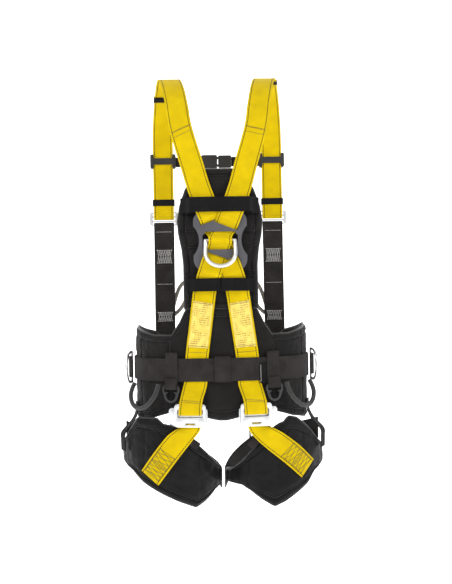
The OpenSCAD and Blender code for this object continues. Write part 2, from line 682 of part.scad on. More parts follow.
// The elastic that hangs the leg loop from the side of the waist pad.
module side_riser(s) {
    color(black) webbing([
        [s * 174, -50, -68, 0.28 * s, 0.96, 0],
        [s * 174.5, -51, -88, 0.28 * s, 0.96, 0],
        [s * 182, -60, -106, 0.36 * s, 0.93, 0],
        [s * 199, -76, -126, 0.47 * s, 0.88, 0],
        [s * 200, -77, -142, 0.47 * s, 0.88, 0],
        [s * 199.5, -77, -162, 0.47 * s, 0.88, 0]], 22, 1.8, 4);
}
module side_riser_left() side_riser(-1);
module side_riser_right() side_riser(1);

back_pad();
waist_pad();
upper_keeper_band();
lower_keeper_band_left();
lower_keeper_band_right();
shoulder_strap_left();
shoulder_strap_right();
dorsal_plate();
dorsal_ring();
chest_slider_left();
chest_slider_right();
chest_strap_left();
chest_strap_right();
chest_buckle_female();
chest_buckle_male();
front_adjuster_left();
front_adjuster_right();
front_webbing_left();
front_webbing_right();
sternal_loop_left();
sternal_loop_right();
tail_keepers_left();
tail_keepers_right();
waist_belt();
belt_keeper_center();
waist_buckle_frame();
waist_buckle_tongue();
side_ring_left();
side_ring_right();
side_ring_loop_left();
side_ring_loop_right();
tool_loop_left();
tool_loop_right();
tool_ring_left();
tool_ring_right();
gear_loop_left();
gear_loop_right();
label_tag();
leg_frame_left();
leg_frame_right();
leg_plate_left();
leg_plate_right();
leg_pad_left();
leg_pad_right();
leg_strap_left();
leg_strap_right();
wear_sleeve_left();
wear_sleeve_right();
thigh_webbing_left();
thigh_webbing_right();
thigh_buckle_left();
thigh_buckle_right();
side_riser_left();
side_riser_right();
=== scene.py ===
# %% [markdown]
# # A full-body work harness
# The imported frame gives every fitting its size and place. This lesson adds what cloth needs:
# woven straps with rounded edges, padding with seams and piping, stitches, and a finish for
# each material. Lengths are in metres, +Z is up, and the wearer's back faces -Y.

# %% Start from the frame
import bpy, bmesh, json, math
import numpy as np
from mathutils import Matrix, Vector, noise


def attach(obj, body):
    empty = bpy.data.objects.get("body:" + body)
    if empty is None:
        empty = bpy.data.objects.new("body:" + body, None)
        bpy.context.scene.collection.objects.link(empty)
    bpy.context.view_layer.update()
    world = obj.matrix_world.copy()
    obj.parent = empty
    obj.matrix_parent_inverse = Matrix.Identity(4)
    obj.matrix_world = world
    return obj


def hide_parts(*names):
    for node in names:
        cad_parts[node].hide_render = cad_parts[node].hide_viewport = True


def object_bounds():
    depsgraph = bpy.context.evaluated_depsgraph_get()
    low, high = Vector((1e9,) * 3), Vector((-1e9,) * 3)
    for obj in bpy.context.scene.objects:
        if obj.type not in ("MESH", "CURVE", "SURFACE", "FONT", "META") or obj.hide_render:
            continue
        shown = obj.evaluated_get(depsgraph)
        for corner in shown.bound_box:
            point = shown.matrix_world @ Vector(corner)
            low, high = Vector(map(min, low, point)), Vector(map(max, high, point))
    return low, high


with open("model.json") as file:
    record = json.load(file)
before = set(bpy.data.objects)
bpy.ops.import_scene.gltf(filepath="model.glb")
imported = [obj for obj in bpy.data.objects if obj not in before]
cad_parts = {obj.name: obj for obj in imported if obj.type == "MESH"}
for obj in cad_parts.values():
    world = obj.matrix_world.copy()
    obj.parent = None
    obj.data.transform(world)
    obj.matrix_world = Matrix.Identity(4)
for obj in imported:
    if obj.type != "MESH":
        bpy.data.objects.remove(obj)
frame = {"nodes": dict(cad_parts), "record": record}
CAD_BOX = [list(corner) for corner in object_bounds()]
print("frame box", CAD_BOX)

# %% [markdown]
# ## Camera
# The harness is seen from behind at chest height, with a long lens and a degree of roll, the way
# a product stand is shot. The camera comes first, so that every later choice is judged in it.

# %% Camera
CAMERA_AT = Vector((-0.0215, -1.682, 0.1357))
CAMERA_YAW = -0.0200
CAMERA_PITCH = 0.0093
CAMERA_ROLL = 0.0177
FOCAL = 49.31506849315068
SENSOR = 36


def make_camera():
    ahead = Vector((-math.sin(CAMERA_YAW), math.cos(CAMERA_YAW), math.tan(CAMERA_PITCH))).normalized()
    right = ahead.cross(Vector((0, 0, 1))).normalized()
    up = right.cross(ahead)
    c, s = math.cos(CAMERA_ROLL), math.sin(CAMERA_ROLL)
    turned_right = c * right - s * up
    turned_up = s * right + c * up
    data = bpy.data.cameras.new("camera")
    data.lens = FOCAL
    data.sensor_width = SENSOR
    data.clip_end = 20
    camera = bpy.data.objects.new("camera", data)
    bpy.context.scene.collection.objects.link(camera)
    axes = Matrix((turned_right, turned_up, -ahead)).transposed().to_4x4()
    camera.matrix_world = Matrix.Translation(CAMERA_AT) @ axes
    bpy.context.scene.camera = camera
    return camera


camera = make_camera()
print("camera at", tuple(round(v, 3) for v in CAMERA_AT), "lens", round(FOCAL, 1))

# %% [markdown]
# ## The body's section
# Every cloth piece follows one rounded rectangle: the wearer's waist. The same formula drives the
# frame, so a strap laid a few millimetres off it lies where the frame's own strap lies.

# %% Section of the body
MM = 0.001
WAIST_HALF, BACK_D, FRONT_D, BODY_N = 178, 128, 118, 2.6
LEG_X, LEG_RX, LEG_RY = 104, 102.5, 105
WEB_W, WEB_T = 45, 2.2


def back_y(x):
    return -BACK_D * max(0.0, 1 - (abs(x) / WAIST_HALF) ** BODY_N) ** (1 / BODY_N)


def back_slope(x):
    return (back_y(x + 1) - back_y(x - 1)) / 2


def round_waist(angle, lift, z):
    """A point round the waist; the angle runs from the middle of the back towards +X."""
    a = math.radians(angle)
    depth = BACK_D if math.cos(a) > 0 else FRONT_D
    x = (WAIST_HALF + lift) * math.copysign(abs(math.sin(a)) ** (2 / BODY_N), math.sin(a))
    y = -(depth + lift) * math.copysign(abs(math.cos(a)) ** (2 / BODY_N), math.cos(a))
    return Vector((x, y, z))


def round_leg(side, angle, lift, z):
    """A point round a thigh loop; the angle runs from the back, outwards."""
    a = math.radians(angle)
    return Vector((side * (LEG_X + (LEG_RX + lift) * math.sin(a)), -25 - (LEG_RY + lift) * math.cos(a), z))


def lookup(x, table):
    xs, ys = zip(*table)
    return float(np.interp(x, xs, ys))


def mix(a, b, t):
    return a + (b - a) * t


# %% [markdown]
# ## Finishes
# Cloth reads as cloth because of its weave, so each webbing material takes its pattern from the
# strap's own UV map, which is laid out in metres: U across the strap and V along it. A woven
# strap then keeps the same ribs whatever its length. Metals and plastics use object coordinates.

# %% Helper for materials
class Finish:
    """A material being built: its nodes, links and main shader."""

    def __init__(self, name, color, rough, metal=0.0, **sockets):
        self.mat = bpy.data.materials.new(name)
        self.mat.use_nodes = True
        self.nodes = self.mat.node_tree.nodes
        self.links = self.mat.node_tree.links
        self.bsdf = self.nodes["Principled BSDF"]
        self.bsdf.inputs["Base Color"].default_value = (*color, 1)
        self.bsdf.inputs["Roughness"].default_value = rough
        self.bsdf.inputs["Metallic"].default_value = metal
        for socket, value in sockets.items():
            self.bsdf.inputs[socket.replace("_", " ")].default_value = value

    def node(self, kind, **values):
        n = self.nodes.new(kind)
        for key, value in values.items():
            if key in n.inputs:
                n.inputs[key].default_value = value
            else:
                setattr(n, key, value)
        return n

    def join(self, a, b):
        self.links.new(a, b)

    def math(self, operation, a, b=None):
        n = self.node("ShaderNodeMath", operation=operation)
        for k, value in enumerate((a, b)):
            if value is None:
                continue
            if isinstance(value, (int, float)):
                n.inputs[k].default_value = value
            else:
                self.join(value, n.inputs[k])
        return n.outputs[0]

    def uv(self):
        """The two coordinates of the strap's own map, in metres."""
        coords = self.node("ShaderNodeUVMap", uv_map="web")
        parts = self.node("ShaderNodeSeparateXYZ")
        self.join(coords.outputs[0], parts.inputs[0])
        return parts.outputs[0], parts.outputs[1]

    def place(self):
        return self.node("ShaderNodeTexCoord").outputs["Object"]

    def noise(self, scale, vector=None, detail=3.0):
        n = self.node("ShaderNodeTexNoise", Scale=scale, Detail=detail)
        self.join(vector or self.place(), n.inputs["Vector"])
        return n.outputs["Fac"]

    def tint(self, fac, low, high):
        """Base colour that runs between two colours."""
        ramp = self.node("ShaderNodeValToRGB")
        ramp.color_ramp.elements[0].color = (*low, 1)
        ramp.color_ramp.elements[1].color = (*high, 1)
        ramp.color_ramp.elements[0].position = 0.3
        ramp.color_ramp.elements[1].position = 0.7
        self.join(fac, ramp.inputs[0])
        return ramp.outputs[0]

    def blend(self, fac, a, b):
        n = self.node("ShaderNodeMix", data_type="RGBA")
        self.join(fac, n.inputs[0])
        for k, value in ((6, a), (7, b)):
            if isinstance(value, tuple):
                n.inputs[k].default_value = (*value, 1)
            else:
                self.join(value, n.inputs[k])
        return n.outputs[2]

    def bump(self, height, strength, distance):
        n = self.node("ShaderNodeBump", Strength=strength, Distance=distance)
        self.join(height, n.inputs["Height"])
        self.join(n.outputs[0], self.bsdf.inputs["Normal"])

    def color(self, socket):
        self.join(socket, self.bsdf.inputs["Base Color"])

    def roughness(self, fac, low, high):
        n = self.node("ShaderNodeMapRange")
        n.inputs["To Min"].default_value = low
        n.inputs["To Max"].default_value = high
        self.join(fac, n.inputs["Value"])
        self.join(n.outputs[0], self.bsdf.inputs["Roughness"])


# %% [markdown]
# ## Webbing finish
# Flat webbing has fine ribs that cross it and a herringbone that runs along it. Two waves on the
# strap's map, one across and one along, are multiplied to make the threads, and the same height
# drives the bump. It also darkens the base colour along the ribs: painted shade, strongest on the
# black webbing and elastic, so that the weave reads. Yellow webbing has a dark tracer thread near
# each edge.

# %% Webbing
def webbing_finish(name, color, shade, rib, tracer=None, width=WEB_W * MM, sheen=0.02,
                   painted_rib_shade=0.18):
    f = Finish(name, color, 0.72, Sheen_Weight=sheen, Sheen_Roughness=0.45)
    f.bsdf.inputs["Specular IOR Level"].default_value = 0.1
    u, v = f.uv()
    along = f.math("SINE", f.math("MULTIPLY", v, 2 * math.pi / rib))
    zigzag = f.math("PINGPONG", u, 0.0028)
    slant = f.math("ADD", f.math("MULTIPLY", zigzag, 1.6), v)
    twill = f.math("SINE", f.math("MULTIPLY", slant, 2 * math.pi / (rib * 1.35)))
    across = f.math("SINE", f.math("MULTIPLY", u, 2 * math.pi / 0.0016))
    diagonal = f.math("ADD", f.math("MULTIPLY", twill, 0.4), f.math("MULTIPLY", across, 0.25))
    threads = f.math("ADD", f.math("MULTIPLY", along, 0.45), diagonal)
    f.bump(threads, 0.8, 0.0006)
    wear = f.noise(38.0)
    cloth = f.tint(wear, shade, color)
    # Painted shade: the rib height pulls the base colour towards a deeper tone of the cloth.
    rib_shade_fac = f.math("MULTIPLY_ADD", threads, painted_rib_shade)
    f.nodes[-1].inputs[2].default_value = 0.2
    cloth = f.blend(f.math("MAXIMUM", rib_shade_fac, 0.0), cloth, tuple(c * 0.62 for c in shade))
    if tracer:
        edge = f.math("ABSOLUTE", f.math("SUBTRACT", f.math("ABSOLUTE", u), width / 2 - 0.0042))
        line = f.math("LESS_THAN", edge, 0.0008)
        dashes = f.math("GREATER_THAN", f.math("SINE", f.math("MULTIPLY", v, 2 * math.pi / 0.0042)), -0.8)
        cloth = f.blend(f.math("MULTIPLY", line, dashes), cloth, tracer)
    f.color(cloth)
    f.roughness(wear, 0.62, 0.82)
    return f.mat


YELLOW = webbing_finish("yellow webbing", (0.77, 0.555, 0.0), (0.63, 0.44, 0.0), 0.0021,
                        tracer=(0.02, 0.016, 0.008))
BLACK_WEB = webbing_finish("black webbing", (0.034, 0.030, 0.029), (0.018, 0.016, 0.015), 0.0034,
                           sheen=0.03, painted_rib_shade=0.5)
ELASTIC = webbing_finish("black elastic", (0.009, 0.0088, 0.009), (0.0055, 0.0055, 0.006), 0.0022,
                         painted_rib_shade=0.4)
print("webbing finishes:", YELLOW.name, BLACK_WEB.name, ELASTIC.name)

# %% [markdown]
# ## Padding, metal, plastic and thread
# The other finishes use object coordinates: a cell pattern for the padding's knit, a fine grain
# with creases for the smooth thigh covers, brushed streaks on steel, and grain on moulded parts.
# A braided sleeve keeps its own map, since its two spirals have to follow the cord.

# %% Padding cloth, metals and plastics
def padding_finish():
    f = Finish("padding cloth", (0.01, 0.009, 0.009), 0.85, Sheen_Weight=0.06, Sheen_Roughness=0.5)
    f.bsdf.inputs["Specular IOR Level"].default_value = 0.16
    cells = f.node("ShaderNodeTexVoronoi", Scale=620.0, feature="DISTANCE_TO_EDGE")
    f.join(f.place(), cells.inputs["Vector"])
    soft = f.noise(24.0)
    height = f.math("ADD", f.math("MULTIPLY", cells.outputs["Distance"], 2.0), f.math("MULTIPLY", soft, 0.6))
    f.bump(height, 0.5, 0.0006)
    f.color(f.tint(soft, (0.0042, 0.0036, 0.0034), (0.0105, 0.0092, 0.0088)))
    f.roughness(soft, 0.7, 0.9)
    return f.mat


def thigh_finish():
    f = Finish("thigh cover", (0.01, 0.0095, 0.0095), 0.5, Sheen_Weight=0.04)
    f.bsdf.inputs["Specular IOR Level"].default_value = 0.12
    grain = f.node("ShaderNodeTexVoronoi", Scale=420.0)
    f.join(f.place(), grain.inputs["Vector"])
    creases = f.noise(30.0, detail=6.0)
    f.bump(f.math("ADD", f.math("MULTIPLY", grain.outputs["Distance"], 0.7), creases), 0.35, 0.0007)
    f.color(f.tint(creases, (0.002, 0.0018, 0.0018), (0.0065, 0.006, 0.0058)))
    f.roughness(creases, 0.38, 0.6)
    return f.mat


def metal_finish(name, color, rough, marks):
    f = Finish(name, color, rough, 1.0)
    streak = f.node("ShaderNodeMapping")
    streak.inputs["Scale"].default_value = (40, 40, 900)
    f.join(f.place(), streak.inputs["Vector"])
    brushed = f.noise(1.0, streak.outputs[0], 4.0)
    blotch = f.noise(55.0)
    f.bump(brushed, marks, 0.0001)
    f.roughness(f.math("MULTIPLY", f.math("ADD", brushed, blotch), 0.5), rough - 0.08, rough + 0.14)
    f.color(f.tint(blotch, tuple(c * 0.93 for c in color), color))
    return f.mat


def plastic_finish(name, color, rough):
    f = Finish(name, color, rough)
    grain = f.noise(900.0)
    worn = f.noise(26.0)
    f.bump(grain, 0.22, 0.0003)
    f.color(f.tint(worn, tuple(c * 0.85 for c in color), tuple(min(1, c * 1.12) for c in color)))
    f.roughness(worn, rough - 0.06, rough + 0.1)
    return f.mat


def sleeve_finish(name, dark, light):
    """Braided sleeve: two crossing spirals on the cord's own map."""
    f = Finish(name, light, 0.75, Sheen_Weight=0.1)
    u, v = f.uv()
    one = f.math("SINE", f.math("MULTIPLY", f.math("ADD", u, v), 2 * math.pi / 0.0034))
    two = f.math("SINE", f.math("MULTIPLY", f.math("SUBTRACT", u, v), 2 * math.pi / 0.0034))
    braid = f.math("MAXIMUM", one, two)
    f.bump(braid, 0.7, 0.0006)
    f.color(f.tint(braid, dark, light))
    return f.mat


def thread_finish(name, color):
    f = Finish(name, color, 0.6, Sheen_Weight=0.2)
    twist = f.noise(1500.0)
    f.bump(twist, 0.5, 0.0002)
    f.color(f.tint(twist, tuple(c * 0.75 for c in color), color))
    return f.mat


PADDING = padding_finish()
THIGH = thigh_finish()
RING_STEEL = metal_finish("bright ring steel", (0.80, 0.81, 0.82), 0.3, 0.12)
BUCKLE_STEEL = metal_finish("plated buckle steel", (0.74, 0.75, 0.76), 0.3, 0.2)
PLATE = plastic_finish("grey plate plastic", (0.062, 0.060, 0.068), 0.5)
PIPING = thread_finish("piping cloth", (0.007, 0.007, 0.0072))
BLACK_PLASTIC = plastic_finish("black plastic", (0.010, 0.010, 0.0105), 0.4)
SLEEVE = sleeve_finish("dark braided sleeve", (0.008, 0.0078, 0.0078), (0.034, 0.032, 0.031))
BROWN_SLEEVE = sleeve_finish("brown braided sleeve", (0.09, 0.078, 0.066), (0.30, 0.27, 0.23))
DARK_THREAD = thread_finish("dark thread", (0.022, 0.016, 0.008))
PALE_THREAD = thread_finish("pale thread", (0.55, 0.54, 0.52))
BLACK_THREAD = thread_finish("black thread", (0.02, 0.02, 0.021))
print("finishes made:", len(bpy.data.materials))


# %% [markdown]
# ## Straps
# A strap is a thin ribbon with soft round edges. A short list of points gives its route; a
# Catmull-Rom curve runs through them, and a flat section with rounded edges is swept along it.
# The section's own width direction is given at each point, so the strap lies on the body or
# turns over a bar the way real webbing does. Its map is measured in metres.

# %% Sweeping a strap
def smooth(route, steps):
    """Catmull-Rom through the route; each entry is a point and the direction of its width."""
    p = [np.array(r, float) for r in route]
    out = []
    for i in range(len(p) - 1):
        a, b, c, d = p[max(i - 1, 0)], p[i], p[i + 1], p[min(i + 2, len(p) - 1)]
        for k in range(steps):
            t = k / steps
            bend, twist = 2 * a - 5 * b + 4 * c - d, 3 * b - a - 3 * c + d
            out.append((2 * b + (c - a) * t + bend * t * t + twist * t**3) / 2)
    return out + [p[-1]]


def strap_section(width, thick, sides=5):
    """Half-round edges joined by flat faces."""
    half, r = width / 2, thick / 2
    right = [(half - r + r * math.sin(t), -r * math.cos(t)) for t in np.linspace(0, math.pi, sides)]
    flat = [half * 0.55, 0.0, -half * 0.55]
    top = [(x, r) for x in flat]
    left = [(-x, -y) for x, y in right]
    bottom = [(-x, -r) for x in flat]
    return right + top + left + bottom


def new_object(name, verts, faces, material, uvs=None):
    mesh = bpy.data.meshes.new(name)
    mesh.from_pydata([Vector(v) * MM for v in verts], [], faces)
    mesh.materials.append(material)
    if uvs is not None:
        layer = mesh.uv_layers.new(name="web")
        for loop in mesh.loops:
            layer.data[loop.index].uv = uvs[loop.vertex_index]
    mesh.shade_smooth()
    obj = bpy.data.objects.new(name, mesh)
    bpy.context.scene.collection.objects.link(obj)
    return obj


def right_way_out(obj):
    bm = bmesh.new()
    bm.from_mesh(obj.data)
    bmesh.ops.remove_doubles(bm, verts=bm.verts, dist=1e-6)
    bmesh.ops.recalc_face_normals(bm, faces=bm.faces)
    bm.to_mesh(obj.data)
    bm.free()
    return obj


def face_out(obj):
    bm = bmesh.new()
    bm.from_mesh(obj.data)
    bmesh.ops.recalc_face_normals(bm, faces=bm.faces)
    bm.to_mesh(obj.data)
    bm.free()


def strap(name, route, material, width=WEB_W, thick=WEB_T, steps=4, nodes=(),
          body="harness", square=False):
    points = smooth(route, steps)
    section = strap_section(width, thick)
    verts, uvs, length = [], [], 0.0
    n = len(section)
    for i, p in enumerate(points):
        here = p[:3]
        ahead = points[min(i + 1, len(points) - 1)][:3] - points[max(i - 1, 0)][:3]
        ahead /= np.linalg.norm(ahead)
        weft = p[3:6] / np.linalg.norm(p[3:6])
        if square:
            weft = weft - ahead * weft.dot(ahead)
            weft /= np.linalg.norm(weft)
        out = np.cross(ahead, weft)
        out /= np.linalg.norm(out)
        if i:
            length += np.linalg.norm(here - points[i - 1][:3])
        for x, y in section:
            verts.append(here + weft * x + out * y)
            uvs.append((x * MM, length * MM))
    faces = []
    for i in range(len(points) - 1):
        for k in range(n):
            a, b = i * n + k, i * n + (k + 1) % n
            faces.append((a, b, b + n, a + n))
    last = (len(points) - 1) * n
    faces.append(tuple(reversed(range(n))))
    faces.append(tuple(range(last, last + n)))
    obj = new_object(name, verts, faces, material, uvs)
    bm = bmesh.new()
    bm.from_mesh(obj.data)
    bmesh.ops.recalc_face_normals(bm, faces=bm.faces)
    for f in bm.faces:
        f.smooth = len(f.verts) == 4
    bm.to_mesh(obj.data)
    bm.free()
    settle(obj, nodes, body)
    return obj


def settle(obj, nodes=(), body="harness"):
    """The piece rides on its body and hides the plain solids it stands for."""
    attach(obj, body)
    if nodes:
        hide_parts(*([nodes] if isinstance(nodes, str) else nodes))
    return obj


def on_back(side, x, z, lift, lean=0.0):
    return (side * x, back_y(x) - lift, z, 1, back_slope(side * x), -side * lean)


def off_back(side, x, y, z, turn=0.0):
    t = math.radians(turn)
    return (side * x, y, z, math.cos(t), side * math.sin(t), 0)


# %% [markdown]
# ## The shoulder straps
# Each strap is one length of webbing: from its tail in front, round the adjuster's bar, over the
# shoulder, through the dorsal plate, and down to the frame of the opposite leg. The two dive
# through the plate at different heights, so one always lies on top of the other.

# %% Shoulder straps
DORSAL_Z, RING_LIFT, PLATE_LIFT, PLATE_T, STRAP_LIFT = 250, 6.4, 8.0, 2.6, 2.5
BRIDGE_LIFT = 1.5
BAR_LIFT = RING_LIFT + 4 + 0.5 + WEB_T / 2
LOBE_LIFT = PLATE_LIFT + PLATE_T / 2 + 1 + WEB_T / 2
LAYER = WEB_T + 1.2
LEAN_HIGH, LEAN_LOW = 0.4, 0.34
FRONT_X, INNER_Y, OUTER_Y, ADJUSTER_Z, SHOULDER_Z = 122, 115, 121.5, 325, 597
LEG_FRAME_X, LEG_FRAME_LIFT, LEG_BAR_Z = 64, 8, -71


def on_leg_frame(side, dx, z, lift):
    slope = back_slope(LEG_FRAME_X)
    y = back_y(LEG_FRAME_X) - LEG_FRAME_LIFT + slope * dx - lift
    return (side * (LEG_FRAME_X + dx), y, z, 1, side * slope, 0)


def shoulder_route(s, over):
    low, bar, lobe = BRIDGE_LIFT + over, BAR_LIFT + over, LOBE_LIFT + over
    dive = 35.5 if over else 40.5

    def near_bar(k, h, lift, row):
        lean = LEAN_HIGH if k > 0 else LEAN_LOW
        out = h if h > 20 else max(0, h - 6) * 20 / 14
        return on_back(s, k * lean * out, DORSAL_Z + k * h, lift, lean * row)

    def through_plate(k):
        return [near_bar(k, 4, bar - 1.1, 0), near_bar(k, 8, bar - 4.2, 0),
                near_bar(k, 12, low + 3, 0), near_bar(k, 16, low + 0.6, 0.2),
                near_bar(k, 20, low, 0.5), near_bar(k, dive - 8.5, low, 1),
                near_bar(k, dive - 4, low + 1.4, 1), near_bar(k, dive, (low + lobe) / 2, 1),
                near_bar(k, dive + 4, lobe - 1.4, 1), near_bar(k, dive + 8.5, lobe, 1)]

    front = [off_back(s, FRONT_X, OUTER_Y, 486), off_back(s, FRONT_X, OUTER_Y, 400),
             off_back(s, FRONT_X, OUTER_Y, ADJUSTER_Z + 8), off_back(s, FRONT_X, OUTER_Y, ADJUSTER_Z - 1),
             off_back(s, FRONT_X, OUTER_Y - 1, ADJUSTER_Z - 5.4),
             off_back(s, FRONT_X, (INNER_Y + OUTER_Y) / 2, ADJUSTER_Z - 7.6),
             off_back(s, FRONT_X, INNER_Y + 1, ADJUSTER_Z - 5.4),
             off_back(s, FRONT_X, INNER_Y, ADJUSTER_Z - 1),
             off_back(s, FRONT_X, INNER_Y, ADJUSTER_Z + 8), off_back(s, FRONT_X, INNER_Y, 430),
             off_back(s, FRONT_X, INNER_Y - 0.2, 492)]
    over_shoulder = [off_back(s, 120, 104, 530), off_back(s, 115, 75, 566),
                     off_back(s, 109, 38, SHOULDER_Z - 9), off_back(s, 103, 0, SHOULDER_Z),
                     off_back(s, 96, -45, SHOULDER_Z - 11), off_back(s, 88, -86, SHOULDER_Z - 40),
                     off_back(s, 81, -112, 520)]
    down_to_plate = [on_back(s, 73, 470, 2, 0.29), on_back(s, 53, 400, STRAP_LIFT, 0.29),
                     on_back(s, 43, 364, STRAP_LIFT + 0.8, 0.3), on_back(s, 37, 345, 7 + over * 0.6, 0.35),
                     on_back(s, 30, 325, lobe + 0.2, 0.4), on_back(s, 25, 312, lobe, 0.4)]
    below_plate = [on_back(s, -19.5, 193, lobe, 0.34), on_back(s, -21.5, 187, lobe, 0.34),
                   on_back(s, -24, 180, 7.6 + over * 0.5, 0.32), on_back(s, -27, 170, STRAP_LIFT + 0.7, 0.28),
                   on_back(s, -32, 150, STRAP_LIFT, 0.2), on_back(s, -41, 84, STRAP_LIFT, 0.13),
                   on_back(s, -49, 24, STRAP_LIFT, 0.06), on_back(s, -52, -22, STRAP_LIFT, 0.1),
                   on_back(s, -55, -36, 4.6, 0.14)]
    round_frame = [on_leg_frame(-s, -4, LEG_BAR_Z + 18, 3.6), on_leg_frame(-s, -1.5, LEG_BAR_Z + 6, 4.3),
                   on_leg_frame(-s, 0, LEG_BAR_Z - 11, 3.9), on_leg_frame(-s, 0, LEG_BAR_Z - 16, 0),
                   on_leg_frame(-s, 0, LEG_BAR_Z - 11, -3.6), on_leg_frame(-s, 0, LEG_BAR_Z + 5, -3.8),
                   on_leg_frame(-s, -1, LEG_BAR_Z + 10, -4.2)]
    middle = [on_back(s, 0, DORSAL_Z, bar, 0)]
    return (front + over_shoulder + down_to_plate + list(reversed(through_plate(1))) + middle
            + through_plate(-1) + below_plate + round_frame)


SIDES = (("left", -1), ("right", 1))
for side_name, s in SIDES:
    strap(f"shoulder_webbing_{side_name}", shoulder_route(s, LAYER if s > 0 else 0), YELLOW, steps=6,
          nodes=f"shoulder_strap_{side_name}")
print("shoulder straps made")

# %% [markdown]
# ## Belt, bands and keepers
# The belt is one strap round the waist. Elastic bands lie across the straps and hold them to the
# pad: the upper band in one piece and the lower one in two halves.

# %% Belt, bands and keepers
BELT_LIFTS = [(0, 5.6), (28, 5.6), (42, 1.9), (180, 1.9)]
UPPER_LIFTS = [(0, 18.2), (57, 18), (66, 7), (75, 1.8), (80, 1.6)]
LOWER_LIFTS = [(0, 15), (14, 14), (24, 11), (50, 9), (60, 2.6), (66, 1.8)]
UP = (0, 0, 1)


def band_route(x0, x1, z, lifts, count=16):
    xs = np.linspace(x0, x1, count + 1)
    return [(x, back_y(x) - lookup(abs(x), lifts), z, *UP) for x in xs]


belt_route = [(*round_waist(a, lookup(abs(a), BELT_LIFTS), 0), *UP) for a in range(-166, 167, 4)]
strap("waist_webbing", belt_route, BLACK_WEB, steps=3, nodes="waist_belt")
strap("upper_band", band_route(-76, 76, 319.5, UPPER_LIFTS, 24), ELASTIC, width=29,
      nodes="upper_keeper_band")
for side_name, x0, x1 in (("left", -66, -1), ("right", 1, 66)):
    strap(f"lower_band_{side_name}", band_route(x0, x1, 164.5, LOWER_LIFTS), ELASTIC, width=25,
          nodes=f"lower_keeper_band_{side_name}")
strap("center_keeper", band_route(-15.5, 15.5, 1, [(0, 8.5), (16, 8.5)], 6), BLACK_WEB, width=50,
      nodes="belt_keeper_center")
print("belt and bands made")

# %% [markdown]
# ## Front webbing, side loops and tool loops
# The black webbing in front is sewn round the adjuster's lowest bar and runs down to the belt. Each
# tool loop and side loop passes over the belt and closes round its ring's bar.

# %% Front webbing and loops
TOOL_X, TOOL_LIFT, TOOL_Z, TOOL_W, KEEPER_LIFT = 100, 12.5, -31, 25, 8.5
SIDE_Y = -16
ADJUSTER_Y = (INNER_Y + OUTER_Y) / 2


def by_tool_ring(s, z, d):
    turn = math.atan(back_slope(TOOL_X))
    return (s * (TOOL_X + math.sin(turn) * d), back_y(TOOL_X) - TOOL_LIFT - math.cos(turn) * d, z,
            math.cos(turn), s * math.sin(turn), 0)


for side_name, s in SIDES:
    low = ADJUSTER_Z - 21.5
    front = [(low - 45, 3.6, 0), (low - 5, 3.9, 0), (low + 2, 3.6, 0), (low + 6.3, 0, 0), (low + 2, -3.6, 0),
             (low - 5, -3.7, 0), (220, -3.4, 0), (150, -5, -3), (90, 109 - ADJUSTER_Y, -12),
             (40, 106.5 - ADJUSTER_Y, -20), (-22, 106.5 - ADJUSTER_Y, -22)]
    strap(f"front_web_{side_name}", [off_back(s, FRONT_X, ADJUSTER_Y + dy, z, turn) for z, dy, turn in front],
          BLACK_WEB, steps=6, nodes=f"front_webbing_{side_name}")
    x = s * WAIST_HALF
    wrap = [(4.4, -26), (5.2, -12), (11.5, -4.5), (13.6, 0), (11.4, 4.2), (7.8, 5.0)]
    strap(f"side_wrap_{side_name}", [(x + s * dx, SIDE_Y + dy, 0, *UP) for dx, dy in wrap], BLACK_WEB,
          width=WEB_W - 2, thick=1.8, steps=6, nodes=f"side_ring_loop_{side_name}")
    rest = KEEPER_LIFT - TOOL_LIFT
    loop = [(34, rest), (0, rest), (-20, rest), (TOOL_Z + 3, -4.2), (TOOL_Z - 4, -3), (TOOL_Z - 5.4, 0.4),
            (TOOL_Z, 4.3), (TOOL_Z + 7, 2.6), (TOOL_Z + 15, -0.4)]
    strap(f"tool_web_{side_name}", [by_tool_ring(s, z, d) for z, d in loop], BLACK_WEB, width=TOOL_W,
          thick=1.8, steps=6, nodes=f"tool_loop_{side_name}")
print("front webbing, side loops and tool loops made")

# %% [markdown]
# ## Leg straps
# The yellow leg strap is sewn down the thigh pad, so its width stays square to its own run while
# its face follows the pad. A black sleeve protects it where it meets the buckle.

# %% Leg straps
LEG_TILT = {-1: 37, 1: 44}
THIGH_BUCKLE_Z = {-1: -204, 1: -181}


def on_leg(s, angle, z, lift, tilt):
    a, t = math.radians(angle), math.radians(tilt)
    weft = (math.cos(t) * math.cos(a), s * math.cos(t) * math.sin(a), s * math.sin(t))
    return (*round_leg(s, angle, lift, z), *weft)


def leg_strap_route(s):
    tilt = LEG_TILT[s]
    x = 1 if s < 0 else 5
    if s < 0:
        down = [(-15, -124, 4.6, 20), (-6, -141, 3.4, 35), (8, -173, 2.5, tilt), (22.5, -208, 2.2, tilt)]
    else:
        down = [(-13, -124, 4.6, 22), (-2, -140, 3, 38), (17, -168, 2, tilt), (35, -198, 2, tilt)]
    top = [on_leg_frame(s, x, -104, -3.6), on_leg_frame(s, x + 1, -113, -3)]
    return top + [on_leg(s, *p) for p in down]


